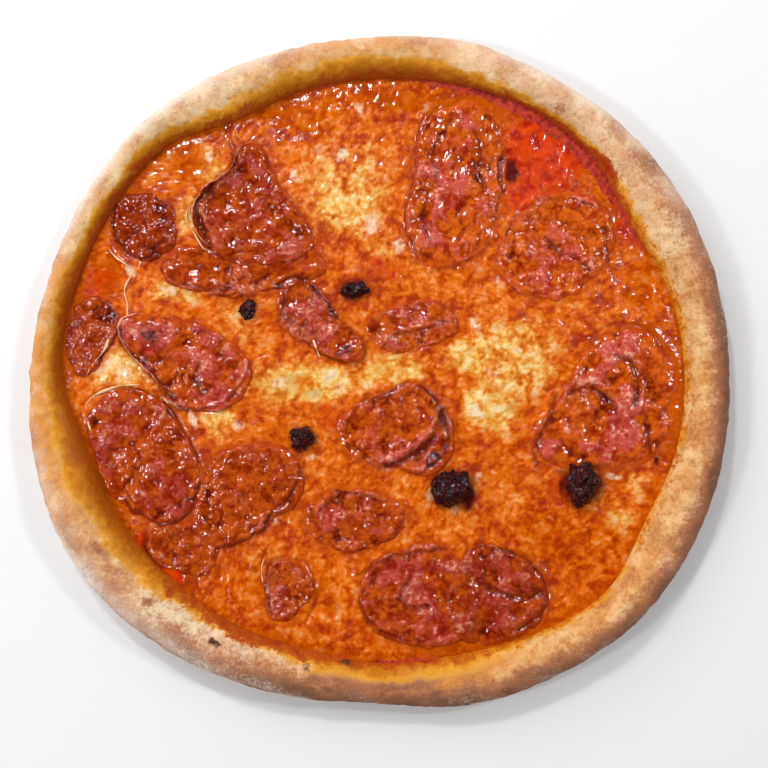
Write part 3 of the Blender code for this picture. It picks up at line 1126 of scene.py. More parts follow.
@dataclass(frozen=True)
class Disc:
    """Square grid bent into a unit disc, so that its cells stay nearly equal."""

    cells: int

    def plan(self) -> tuple[Values, Values]:
        """Give each point's place.

        Returns:
            The share of the way to the edge and the angle of each point.
        """
        side = np.linspace(-1, 1, self.cells + 1)
        across, along = (part.ravel() for part in np.meshgrid(side, side))
        wide = np.abs(across) > np.abs(along)
        reach = np.where(wide, across, along)
        with np.errstate(divide="ignore", invalid="ignore"):
            turn = np.where(wide, pi / 4 * along / across, pi / 2 - pi / 4 * across / along)
        turn = np.nan_to_num(turn)
        angle = np.arctan2(reach * np.sin(turn), reach * np.cos(turn))
        return np.abs(reach), angle

    def faces(self) -> list[tuple[int, ...]]:
        """Point numbers of the cells, counter-clockwise from above.

        Returns:
            Four numbers for each cell.
        """
        row = self.cells + 1
        starts = (j * row + i for j in range(self.cells) for i in range(self.cells))
        return [(s, s + 1, s + row + 1, s + row) for s in starts]

    def edge(self) -> list[int]:
        """Point numbers round the edge, counter-clockwise from above.

        Returns:
            The numbers, each once.
        """
        last = self.cells
        row = last + 1
        low = list(range(last))
        right = [j * row + last for j in range(last)]
        high = [last * row + last - i for i in range(last)]
        left = [(last - j) * row for j in range(last)]
        return low + right + high + left


def following(row: list[int]) -> Iterable[tuple[int, int]]:
    """Each point of a closed row with the next one."""
    return zip(row, row[1:] + row[:1])


def wall(upper: list[int], lower: list[int]) -> list[tuple[int, ...]]:
    """Faces between two closed rows of points, seen from outside when both run counter-clockwise."""
    return [(a, c, d, b) for (a, b), (c, d) in zip(following(upper), following(lower))]


def turned_faces(rows: int, steps: int) -> list[tuple[int, ...]]:
    """Faces of a closed turned shape.

    Args:
        rows: How many rings it has, from the middle of its top round to the middle of its bottom.
        steps: How many points a ring has. The two middles come after the last ring.

    Returns:
        The point numbers of each face.
    """
    rings = [list(range(k * steps, (k + 1) * steps)) for k in range(rows)]
    faces = [face for inner, outer in zip(rings, rings[1:]) for face in wall(inner, outer)]
    top, bottom = rows * steps, rows * steps + 1
    faces += [(top, a, b) for a, b in following(rings[0])]
    faces += [(bottom, b, a) for a, b in following(rings[-1])]
    return faces


OUTER_RADII_MM = (
    162, 162, 162, 161, 159, 159, 156, 156, 158, 160, 160, 160,
    162, 165, 167, 165, 160, 156, 154, 160, 163, 166, 166, 164,
)
FOOT_RADII_MM = (
    142, 140, 136, 141, 141, 139, 137, 136, 135, 145, 146, 147,
    148, 141, 139, 137, 136, 134, 136, 137, 142, 147, 142, 143,
)
# How much sauce the cheese leaves bare, every 15 degrees.
BARE_SAUCE_MM = (
    0, 0, 2.0, 3.6, 3.8, 2.0, 1.0, 1.2, 0, 0, 0, 0,
    0, 0, 0, 0, 0, 0.6, 1.6, 0.8, 0, 0, 0, 0,
)


def foot_radius(angle: Values) -> Values:
    """Distance from the middle to the foot of the rim's inner slope."""
    return around(FOOT_RADII_MM, angle) * MM


@dataclass(frozen=True)
class Crust:
    """Thin base and raised rim of dough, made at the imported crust's own sizes."""

    crest_heights_mm: tuple[float, ...] = (17, 18, 16, 15, 17, 13.5, 15, 19, 18, 14.5, 17, 18)
    mean_outer: float = 0.161
    mean_foot: float = 0.140
    mean_crest: float = 0.0165
    base: float = 0.0035
    bulge: float = 0.0070
    contact_share: float = 0.72
    fullness: float = 0.75
    crest_swell: Unevenness = Unevenness(0.0012, 0.030, 0.3)
    oil_wander: Unevenness = Unevenness(0.35, 0.016, 5.1)
    foot_wander: tuple[Unevenness, ...] = (Unevenness(0.14, 0.008, 33.1), Unevenness(0.06, 0.0021, 35.2))
    toast_wander: Unevenness = Unevenness(0.5, 0.012, 43.7)
    flour_wander: Unevenness = Unevenness(0.3, 0.018, 41.2)
    # Angle in degrees, share of the rim's width, then height and spread in millimetres.
    bumps: tuple[tuple[float, ...], ...] = (
        (15, 0.55, 1.5, 16), (58, 0.60, 1.2, 12), (92, 0.45, 1.4, 14), (120, 0.25, -3.2, 7),
        (133, 0.80, 2.2, 8), (168, 0.50, 1.2, 10), (205, 0.50, 1.6, 18), (220, 0.25, -3.0, 7),
        (243, 0.60, 1.5, 14), (268, 0.55, 2.2, 10), (317, 0.15, 4.5, 8), (327, 0.30, -2.8, 7),
        (345, 0.55, 1.6, 16),
    )
    # By angle, every 30 degrees: how far up the slope the oil goes and how deep it is, then how golden,
    # buttery, browned, floury and red the dough is. The browning is partly painted shade, heaviest on the
    # rim's right and lower side.
    oil_reach: tuple[float, ...] = (0.18, 0.22, 0.28, 0.58, 0.5, 0.44, 0.62, 0.5, 0.3, 0.55, 0.2, 0.14)
    oil_depth: tuple[float, ...] = (0.42, 0.6, 0.7, 0.96, 0.66, 1.0, 1.1, 0.95, 0.7, 0.8, 0.5, 0.4)
    golden: tuple[float, ...] = (0.5, 0.2, 0.1, 0.45, 0.25, 0.25, 0.75, 0.4, 0.1, 0.95, 0.6, 0.5)
    buttery: tuple[float, ...] = (0.8, 0.4, 0.3, 0.6, 0.5, 0.5, 0.7, 0.4, 0.1, 0.5, 0.6, 0.8)
    toasting_and_shade: tuple[float, ...] = (1.3, 0.8, 0.32, 0.2, 0.4, 0.3, 0.2, 0.5, 1.1, 1.05, 1.1, 1.1)
    floury: tuple[float, ...] = (0.3, 0.55, 0.8, 0.35, 0.85, 0.8, 0.35, 0.75, 0.65, 0.3, 0.4, 0.35)
    reddened: tuple[float, ...] = (0.2, 0.12, 0.12, 0.35, 0.3, 0.38, 0.25, 0.15, 0.42, 0.35, 0.15, 0.15)
    char_spots: tuple[Patch, ...] = patches(
        (157, 38, 2.5, 5, 0.6), (149, 55, 2, 2, 0.5), (158, -14, 2, 5, 0.5), (-110, 117, 2, 3, 0.5),
        (-74, -125, 3.4, 1.8, 0.8, -20), (-32, -137, 2, 3, 0.6), (-15, -137, 4.5, 1.6, 0.8, -15),
        (-26, -147, 9, 2, 0.45), (60, -148, 9, 2, 0.45), (-80, -133, 12, 3, 0.35, -20),
        (110, -116, 3, 2, 0.35),
    )
    toast_spots: tuple[Patch, ...] = patches(
        (129, 86, 5, 7, 0.6, -40), (143, 60, 5, 9, 0.6), (-107, 117, 4, 4, 0.7), (-119, 106, 3, 3, 0.5),
        (83, 120, 4, 4, 0.5), (154, 30, 5, 16, 0.8), (156, -30, 5, 22, 0.8), (-10, -144, 40, 7, 0.8),
        (70, -140, 30, 6, 0.8, 25), (12, -144, 24, 4, 0.5), (-126, -83, 6, 3.5, 0.7, -50),
        (-105, -108, 3.5, 4, 0.8), (-85, -132, 14, 4, 0.6, -25),
    )
    juice_spots: tuple[Patch, ...] = patches(
        (6, -135, 21, 1.5, 0.9, 2), (102, 96, 16, 3, 0.5, -45), (-88, -98, 9, 4, 0.7, -35),
        (-97, -101, 5, 3, 0.4, -45),
    )
    relief: Relief = Relief(0.0085, 0.00022, 0.013, 0.00065, 2.0)
    steps: int = 1080
    rim_points: int = 60
    under_points: int = 14

    def profile(self) -> Values:
        """Turned outline from the middle of the top out round the rim to the middle of the bottom.

        Returns:
            Rows of radius, height and how far under the rim the point is.
        """
        width = self.mean_outer - self.mean_foot
        rise = self.mean_crest - (self.base + self.bulge) / 2
        rows = [(share * self.mean_foot, self.base, 0) for share in (0.45, 0.9)]
        for k in range(self.rim_points):
            turn = pi * k / (self.rim_points - 1)
            share = 0.5 - 0.5 * cos(turn)
            level = self.base + (self.bulge - self.base) * share
            arch = max(0, sin(turn)) ** self.fullness
            rows.append((self.mean_foot + width * share, level + rise * arch, 0))
        for k in range(1, self.under_points + 1):
            turn = pi / 2 * k / self.under_points
            share = self.contact_share + (1 - self.contact_share) * cos(turn)
            rows.append((self.mean_foot + width * share, self.bulge * (1 - sin(turn)), sin(turn)))
        rows += [(share * self.mean_foot, 0, 1) for share in (0.9, 0.45)]
        return np.array(rows)

    def bumps_at(self, angle: Values, share: Values) -> Values:
        """Height of the rim's puffs and pinches, by angle and by share of the rim's width.

        Args:
            angle: Angles in radians.
            share: Shares of the rim's width.

        Returns:
            One height for each place, in metres.
        """
        width = self.mean_outer - self.mean_foot
        heights = np.zeros(np.shape(share))
        for middle, middle_share, height, spread in self.bumps:
            turn = (angle - radians(middle) + pi) % tau - pi
            distance = np.hypot(turn * self.mean_outer, (share - middle_share) * width)
            heights = heights + bump(distance, height * MM, spread * MM)
        return heights

    def build(self, finish: bpy.types.Material) -> bpy.types.Mesh:
        """Make the dough's mesh, with what its finish reads.

        Args:
            finish: The dough's material.

        Returns:
            The dressed mesh.
        """
        rows = self.profile()
        angle = np.linspace(0, tau, self.steps, endpoint=False)[None, :]
        radius, level, under = (rows[:, k][:, None] for k in range(3))
        foot = foot_radius(angle)
        share = np.clip((radius - self.mean_foot) / (self.mean_outer - self.mean_foot), 0, None)
        outer = around(OUTER_RADII_MM, angle) * MM
        on_rim = foot + share * (outer - foot)
        reach = np.where(radius <= self.mean_foot, radius / self.mean_foot * foot, on_rim)
        turned_x, turned_y = radius * np.cos(angle), radius * np.sin(angle)
        raised = np.clip(level - self.bulge, 0, None) / (self.mean_crest - self.bulge)
        uneven = self.crest_swell.at(turned_x, turned_y)
        crest = around(self.crest_heights_mm, angle) * MM - self.mean_crest
        height = level + raised * (crest + uneven + self.bumps_at(angle, share))
        x, y = reach * np.cos(angle), reach * np.sin(angle)
        share = share + 0 * angle
        under = under + 0 * angle
        relief = eased(0.0, 0.05, share) * (1 - 0.8 * under)
        outward = eased(0.35, 0.95, share + 0.25 * under)
        soaked = around(self.oil_reach, angle) * (1 + self.oil_wander.at(x, y))
        oil = around(self.oil_depth, angle) * np.clip(1 - share / soaked, 0, 1) ** 0.8 * (1 - under)
        bare = np.clip(around(BARE_SAUCE_MM, angle) / 4, 0, 1) * eased(0.12, 0.03, share) * (1 - under)
        fringe = 0.02 + 0.24 * around(self.reddened, angle)
        fringe = fringe + sum(wander.at(x, y) for wander in self.foot_wander)
        foot_red = around(self.reddened, angle) * eased(fringe + 0.14, fringe - 0.06, share)
        slant = x + 1.6 * height
        # Browning of the rim, heavier on its outer slope and under it; on its right and lower side it is also
        # painted shade.
        toast_and_shade = around(self.toasting_and_shade, angle) + self.toast_wander.at(slant, y - 1.1 * height)
        toast_and_shade = toast_and_shade * (0.25 + 0.75 * outward) * (1 - 0.5 * under)
        floury = (around(self.floury, angle) + self.flour_wander.at(slant, y)) * outward
        above = eased(0.5, 0.0, under)
        toast_and_shade = np.maximum(toast_and_shade, painted(self.toast_spots, x, y) * above) + 0.25 * under
        marks = {
            "relief": relief,
            "oil": oil,
            "gold": around(self.golden, angle) * (1 - 0.4 * under),
            "toast_and_shade": toast_and_shade,
            "flour": floury + 0.35 * under,
            "inner": (1 - outward) * around(self.buttery, angle),
            "juice": np.maximum.reduce([painted(self.juice_spots, x, y), foot_red, 0.5 * bare]) * (1 - under),
            "char": painted(self.char_spots, x, y) * above,
        }
        points = np.stack([x, y, height + 0 * angle], axis=-1).reshape(-1, 3)
        points = np.vstack([points, (0, 0, self.base), (0, 0, 0)])
        faces = turned_faces(len(rows), self.steps)
        marks = {key: np.append(numbers.ravel(), (0, 0)) for key, numbers in marks.items()}
        return self.relief.over(points, faces, marks, finish)


# Unevenness of a slice's edge in millimetres, each with the radius of the circle that it is read on.
EDGE_ROUGHNESS = ((9, Unevenness(1.0, 2.3, 6.1)), (22, Unevenness(0.55, 2.3, 8.2)))


@dataclass(frozen=True)
class Slice:
    """One slice of salami: its plan in millimetres and how it lies.

    The side is the direction in degrees in which its edge is lifted, and how far.
    """

    centre: tuple[float, float]
    radii: tuple[float, ...]
    side: tuple[float, float]
    lay: Lay = Lay.SETTLED
    curl_mm: float = 0
    oil: float = 0.5
    char: tuple[Patch, ...] = ()
    baked: float = 0.2

    def outline(self, angle: Values) -> Values:
        """Distance from the slice's centre to its edge, in metres.

        Args:
            angle: Directions from the centre, in radians.

        Returns:
            One distance for each direction.
        """
        edge = around(self.radii, angle)
        for reach, uneven in EDGE_ROUGHNESS:
            x, y = self.centre[0] + reach * np.cos(angle), self.centre[1] + reach * np.sin(angle)
            edge = edge + uneven.at(x, y)
        return edge * MM

    def distance(self, x: Values, y: Values) -> Values:
        """About how far some places are outside the slice's edge, in metres, negative inside."""
        dx, dy = x - self.centre[0] * MM, y - self.centre[1] * MM
        return np.hypot(dx, dy) - self.outline(np.arctan2(dy, dx))


SLICES = {
    "salami_top_left_under": Slice(
        (-65, 47), (40, 19, 13, 12, 18, 39, 20, 15, 14, 18), (260, 0.8), oil=0.7, baked=0.4
    ),
    "salami_lower_left_under": Slice(
        (-92, -84), (17, 13, 12, 16, 19, 12, 11, 17), (270, 0.5), Lay.SUNK, oil=0.9, baked=0.5
    ),
    "salami_left_edge": Slice(
        (-136, 15), (13, 18, 19, 13, 11, 15, 19, 12), (0, 0.6), Lay.SUNK, oil=0.8, baked=0.75
    ),
    "salami_far_left_round": Slice(
        (-110, 67), (15, 16, 16, 18, 16, 15, 17, 17), (200, 1.2), oil=0.9, baked=0.95
    ),
    "salami_top_left_folded": Slice(
        (-60, 73), (23, 19, 21, 33, 21, 24, 27, 26, 25, 25, 27, 33), (150, 3.5), Lay.ON_TOP, 2.6,
        oil=0.35, baked=0.55,
    ),
    "salami_top_right_long": Slice(
        (36, 87), (24, 29, 41, 36, 25, 21, 30, 42, 35, 25), (180, 1.4), baked=0.0
    ),
    "salami_right_upper": Slice(
        (83, 57), (27, 29, 27, 24, 23, 28, 29, 26, 25, 23), (60, 1.2), baked=0.0
    ),
    "salami_right_large": Slice(
        (109, -17), (28, 35, 38, 35, 28, 23, 27, 41, 36, 30, 30, 30), (170, 1.6), oil=0.55, baked=0.05
    ),
    "salami_bottom_left_half": Slice(
        (18, -106), (26, 25, 26, 23, 26, 27, 25, 22, 24, 28), (180, 1.8), Lay.ON_TOP, oil=0.4, baked=0.35
    ),
    "salami_bottom_right_half": Slice(
        (53, -106), (24, 23, 22, 25, 22, 22, 25, 23, 21, 23), (45, 1.4), Lay.ON_TOP, oil=0.4, baked=0.65
    ),
    "salami_small_wedge": Slice(
        (-43, -103), (13, 12, 14, 14, 10, 13, 15, 11), (180, 1.0), oil=0.6, baked=0.45
    ),
    "salami_lower_middle": Slice(
        (-12, -71), (25, 18, 15, 19, 24, 18, 15, 17), (90, 0.6), Lay.SUNK, oil=0.7, baked=0.4
    ),
    "salami_centre_left": Slice(
        (-30, 22), (12, 11, 13, 21, 21, 17, 13, 11, 17, 28), (300, 2.2), Lay.ON_TOP,
        char=(Patch(-17, 8, 7, 5, 0.85),), baked=0.4,
    ),
    "salami_centre_narrow": Slice((15, 19), (22, 17, 12, 13, 22, 16, 12, 12), (90, 0.9), oil=0.6),
    "salami_centre_charred": Slice(
        (10, -29), (24, 24, 24, 21, 20, 24, 30, 26, 20, 18, 24, 26), (320, 1.0),
        char=(Patch(29, -23, 3.5, 6, 0.6), Patch(25, -43, 6.5, 3, 0.9, 40), Patch(32, -37, 2.5, 2.5, 0.7)),
    ),
    "salami_left_folded": Slice(
        (-89, 3), (28, 21, 18, 19, 24, 36, 23, 17, 20, 22, 27, 30), (200, 3.0), Lay.ON_TOP, 2.4,
        oil=0.4, char=(Patch(-108, 14, 7, 5, 0.7, -30), Patch(-100, 4, 6, 3, 0.6, -30)),
    ),
    "salami_left_lower_round": Slice(
        (-109, -41), (24, 22, 26, 33, 32, 24, 24, 26, 33, 32), (100, 1.8), Lay.ON_TOP, oil=0.45, baked=0.5
    ),
    "salami_lower_left_round": Slice(
        (-62, -58), (26, 28, 23, 23, 21, 31, 23, 18), (0, 1.0), oil=0.75, baked=0.5
    ),
}


@dataclass(frozen=True)
class Lump:
    """One lump of sausage: its plan and its height in millimetres."""

    centre: tuple[float, float]
    radii: tuple[float, ...]
    height: float


LUMPS = {
    "sausage_lump_centre": Lump((33, -56), (11, 10, 9, 9, 10, 10, 9, 9), 8.0),
    "sausage_lump_right": Lump((94, -54), (7.5, 9, 11.5, 10, 8, 9, 11, 8.5), 8.5),
    "sausage_lump_left": Lump((-36, -33), (6, 6, 6, 7, 6, 6, 5, 6), 5.0),
    "sausage_crumbs_upper": Lump((-12, 37), (8, 5, 3, 4, 7, 5, 4, 4), 3.5),
    "sausage_crumbs_left": Lump((-62, 27), (4, 5, 5, 4, 4, 4, 5, 4), 2.5),
}


@dataclass
class Ground:
    """Height of the food so far, on a square grid over the pizza."""

    cell: float = 0.0007
    half: float = 0.154

    def __post_init__(self) -> None:
        """Lay the grid out, with nothing on it."""
        side = np.arange(-self.half, self.half + self.cell, self.cell)
        self.x, self.y = np.meshgrid(side, side)
        self.heights = np.zeros(self.x.shape)

    def softened(self, radius: float) -> Values:
        """Heights blurred over a radius in metres.

        Args:
            radius: How far they are blurred.

        Returns:
            The blurred grid.
        """
        reach = int(3 * radius / self.cell)
        weights = np.exp(-0.5 * (np.arange(-reach, reach + 1) * self.cell / radius) ** 2)
        weights /= weights.sum()
        soft = sum(w * np.roll(self.heights, k - reach, 0) for k, w in enumerate(weights))
        return sum(w * np.roll(soft, k - reach, 1) for k, w in enumerate(weights))

    def read(self, heights: Values, x: Values, y: Values) -> Values:
        """Height at some places, from a grid of heights.

        Args:
            heights: The grid, in metres.
            x: Places along X, in metres.
            y: Places along Y, in metres.

        Returns:
            One height for each place.
        """
        last = len(heights) - 2
        u = np.clip((x + self.half) / self.cell, 0, last + 0.999)
        v = np.clip((y + self.half) / self.cell, 0, last + 0.999)
        i, j = u.astype(int), v.astype(int)
        s, t = u - i, v - j
        near = heights[j, i] * (1 - s) + heights[j, i + 1] * s
        far = heights[j + 1, i] * (1 - s) + heights[j + 1, i + 1] * s
        return near * (1 - t) + far * t


@dataclass(frozen=True)
class Filling:
    """Sauce and cheese on the base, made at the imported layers' own heights."""

    sauce_top: float = 0.0048
    sauce_climb: float = 0.0021
    sauce_depth: float = 0.0009
    sauce_spread: float = 0.0011
    cheese_bottom: float = 0.0051
    cheese_top: float = 0.0072
    edge_top: float = 0.0063
    sauce_wander: Unevenness = Unevenness(0.3, 0.012, 4.4)
    sauce_ripple: Unevenness = Unevenness(0.0003, 0.004, 7.7)
    # The cheese's edge in millimetres, then its top in metres, from the widest swell to the finest.
    ragged_edge: tuple[Unevenness, ...] = (
        Unevenness(1.8, 9.0, 3.3),
        Unevenness(1.2, 3.1, 5.5),
        Unevenness(0.6, 1.3, 7.9),
    )
    cheese_swell: Unevenness = Unevenness(0.0007, 0.034, 1.7)
    cheese_ripples: tuple[Unevenness, ...] = (
        Unevenness(0.00035, 0.0085, 2.9),
        Unevenness(0.00022, 0.0045, 8.4),
    )
    # The cheese is raised a little round the slices and dips under them.
    lip_height: float = 0.0003
    lip_width: float = 0.0013
    dip: float = 0.0007
    # Place, height and spread in millimetres.
    mounds: tuple[tuple[float, ...], ...] = (
        (-19, 79, 0.8, 24), (-37, -5, 0.9, 20), (64, 9, 0.8, 26), (-116, -3, 1.0, 11), (46, -18, 0.6, 12),
        (-72, -29, 0.7, 11), (-100, 39, 0.7, 13), (111, -72, 0.6, 13), (-123, -52, -1.0, 13),
        (61, 92, -1.0, 9), (101, 88, -0.6, 14), (129, 34, -0.6, 13), (-51, 122, -0.6, 16),
        (-84, -88, -0.6, 12),
    )
    pale: tuple[Patch, ...] = patches(
        (-17, 83, 23, 28, 0.66), (-24, 72, 12, 12, 0.5), (2, 56, 10, 10, 0.4), (-38, -7, 30, 12, 1.0),
        (4, -1, 20, 8, 0.9), (41, 5, 14, 10, 0.9), (64, 7, 22, 20, 0.66), (55, -18, 14, 16, 0.7),
        (-95, 37, 14, 8, 0.9), (-114, 2, 10, 14, 0.8), (-75, -25, 10, 10, 0.8), (-56, -90, 16, 12, 0.5),
        (111, -72, 10, 9, 0.6), (46, -18, 8, 10, 0.8), (-81, 95, 9, 12, 0.8), (-90, 74, 8, 12, 0.7),
        (-122, 0, 13, 11, 0.9, 40), (-65, 23, 14, 14, 0.5), (76, -5, 10, 10, 0.4), (120, -51, 9, 9, 0.4),
    )
    white: tuple[Patch, ...] = patches(
        (-17, 100, 4, 3.5, 0.8), (-5, 68, 4, 5, 0.8), (9, 56, 4, 4, 0.7), (-30, 103, 2.5, 3, 0.6),
        (-41, 90, 3, 5, 0.7, 30), (-44, 67, 4, 4, 0.9), (23, 124, 3, 3, 0.6), (-10, 123, 3, 3, 0.6),
        (56, 41, 3, 4, 0.5), (44, 19, 4, 4, 0.6), (46, -20, 3, 6, 0.8), (54, -2, 5, 3, 0.5),
        (-46, -6, 6, 3, 0.6), (-20, -9, 5, 3, 0.5), (-97, -12, 3, 5, 0.7, 40), (-88, -23, 3, 5, 0.7, 30),
        (-120, -3, 5, 5, 0.6), (-128, 1, 5, 9, 0.6, -35), (-88, 72, 3, 5, 0.6), (-98, 36, 6, 3, 0.6),
        (-117, 46, 3.5, 3.5, 0.8), (-80, 100, 3, 3, 0.6), (107, -50, 6, 2, 0.7), (46, -50, 3, 2, 0.6),
        (23, -58, 2, 4, 0.5), (-30, -42, 3, 2, 0.5), (108, -70, 3, 3, 0.5), (-49, -69, 3, 3, 0.6),
        (-66, -27, 3, 4, 0.6),
    )
    red: tuple[Patch, ...] = patches(
        (77, 101, 26, 22, 1.0, -40), (64, 80, 13, 11, 0.7), (115, 66, 16, 7, 0.6, -60),
        (0, 46, 12, 8, 0.6), (-58, 25, 7, 7, 0.4), (-24, -23, 7, 7, 0.6), (85, -56, 9, 9, 0.6),
        (-132, 38, 12, 12, 0.6), (-98, -95, 12, 8, 0.8), (-109, -81, 6, 6, 0.8),
    )
    pools: tuple[Patch, ...] = patches(
        (-121, -51, 12, 22, 1.0), (-51, 123, 30, 8, 0.7), (4, 128, 40, 6, 0.8, -4),
        (-90, 98, 10, 14, 0.8), (-36, 116, 20, 8, 0.6), (-128, 46, 8, 14, 0.8), (120, 44, 7, 16, 0.5),
        (125, 32, 8, 22, 0.6), (83, -79, 26, 16, 0.5), (111, -81, 12, 12, 0.5), (-65, -97, 14, 14, 0.4),
        (-24, -106, 12, 12, 0.4),
    )
    juice: tuple[Patch, ...] = patches(
        (61, 92, 5, 7, 0.85), (41, -60, 5, 7, 0.85), (33, -56, 12, 11, 0.6), (94, -55, 11, 11, 0.8),
        (-36, -33, 7, 8, 0.8), (-12, 37, 9, 6, 0.7), (-62, 27, 4, 6, 0.6), (129, -44, 2, 3, 0.8),
    )
    sauce_relief: Relief = Relief(0.0022, 0.00018, 0.006, 0.0002, 4.0)
    cheese_relief: Relief = Relief(0.0034, 0.00026, 0.0075, 0.00030, 0.0)
    cells: int = 288
    sauce_steps: int = 720

    def cheese_radius(self, angle: Values) -> Values:
        """Distance from the middle to the ragged edge of the cheese.

        Args:
            angle: Angles in radians.

        Returns:
            One distance for each angle, in metres.
        """
        bare = np.clip(around(BARE_SAUCE_MM, angle), 0, None)
        x, y = np.cos(angle) * 140, np.sin(angle) * 140
        ragged = sum(uneven.at(x, y) for uneven in self.ragged_edge)
        return foot_radius(angle) + (1.5 - 1.25 * bare + ragged * np.clip(bare, 0.3, 1.3)) * MM

    def cheese_height(self, x: Values, y: Values, share: Values) -> Values:
        """Top of the cheese, by place and by share of the way to its edge.

        Args:
            x: Places along X, in metres.
            y: Places along Y, in metres.
            share: Share of the way to the edge.

        Returns:
            One height for each place.
        """
        full = self.cheese_top + self.cheese_swell.at(x, y)
        for middle_x, middle_y, height, spread in self.mounds:
            full = full + bump(np.hypot(x - middle_x * MM, y - middle_y * MM), height * MM, spread * MM)
        full = full + sum(uneven.at(x, y) for uneven in self.cheese_ripples)
        return self.edge_top + (full - self.edge_top) * (1 - share**26)

    def ground(self) -> Ground:
        """Height map of the bare cheese.

        Returns:
            The ground that the slices are laid on.
        """
        made = Ground()
        angle = np.arctan2(made.y, made.x)
        share = np.clip(np.hypot(made.x, made.y) / self.cheese_radius(angle), 0, 1)
        made.heights = self.cheese_height(made.x, made.y, share)
        return made

    def build_sauce(self, finish: bpy.types.Material) -> bpy.types.Mesh:
        """Make the sauce, which climbs a little where it meets the rim.

        Args:
            finish: The sauce's material.

        Returns:
            The dressed mesh.
        """
        angle = np.linspace(0, tau, self.sauce_steps, endpoint=False)[None, :]
        shares = np.concatenate([[0.5], np.linspace(0.86, 1.0, 26)])[:, None]
        edge = foot_radius(angle) + self.sauce_spread
        x, y = shares * edge * np.cos(angle), shares * edge * np.sin(angle)
        bare = eased(0, 2, around(BARE_SAUCE_MM, angle))
        climb = self.sauce_climb * eased(0.90, 0.985, shares)
        climb = climb * (0.3 + 0.7 * bare + self.sauce_wander.at(x, y))
        top = self.sauce_top + climb + self.sauce_ripple.at(x, y)
        upper = np.stack([x, y, top], axis=-1).reshape(-1, 3)
        bottom = self.sauce_top - self.sauce_depth
        lower = np.stack([x[-1], y[-1], np.full(x[-1].shape, bottom)], axis=-1)
        points = np.vstack([upper, lower, (0, 0, self.sauce_top), (0, 0, bottom)])
        faces = turned_faces(len(shares) + 1, self.sauce_steps)
        oil = np.clip(1 - 0.5 * around(BARE_SAUCE_MM, angle), 0.1, 1) + 0 * x
        relief = np.ones(x.shape)
        marks = {
            "oil": np.concatenate([oil.ravel(), oil[-1], (0, 0)]),
            "relief": np.concatenate([relief.ravel(), np.zeros(self.sauce_steps), (0, 0)]),
        }
        return self.sauce_relief.over(points, faces, marks, finish)

    def build_cheese(self, finish: bpy.types.Material) -> bpy.types.Mesh:
        """Make the cheese, which swells round the slices and dips under them.

        Args:
            finish: The cheese's material.

        Returns:
            The dressed mesh.
        """
        disc = Disc(self.cells)
        share, angle = disc.plan()
        reach = share * self.cheese_radius(angle)
        x, y = reach * np.cos(angle), reach * np.sin(angle)
        top = self.cheese_height(x, y, share)
        nearest = np.min([made.distance(x, y) for made in SLICES.values()], axis=0)
        lip = bump(nearest - self.lip_width, self.lip_height, self.lip_width)
        lip = lip * (0.4 + swell(x, y, 0.009, 6.6))
        crease, shade, _ = folded(x, y)
        top = top + lip + crease * eased(1.0, 0.99, share) - self.dip * eased(-0.0010, -0.003, nearest)
        edge = disc.edge()
        under = np.stack([x[edge], y[edge], np.full(len(edge), self.cheese_bottom)], axis=-1)
        points = np.vstack([np.stack([x, y, top], axis=-1), under, (0, 0, self.cheese_bottom)])
        count = len(x)
        rim = [count + k for k in range(len(edge))]
        faces = disc.faces() + wall(edge, rim)
        faces += [(count + len(edge), b, a) for a, b in following(rim)]
        covered = eased(0.001, -0.002, nearest)
        marks = {
            "relief": eased(1.0, 0.985, share) * (1 - 0.9 * covered),
            "pale": painted(self.pale, x, y),
            "white": painted(self.white, x, y),
            "red": painted(self.red, x, y),
            "pool": np.maximum(painted(self.pools, x, y), 0.75 * eased(0.93, 0.99, share)),
            "juice": painted(self.juice, x, y),
            "stain": np.exp(-np.clip(nearest, 0, None) / 0.0028),
            "shade": shade,
        }
        spare = np.zeros(len(edge) + 1)
        marks = {key: np.append(numbers, spare) for key, numbers in marks.items()}
        return self.cheese_relief.over(points, faces, marks, finish)


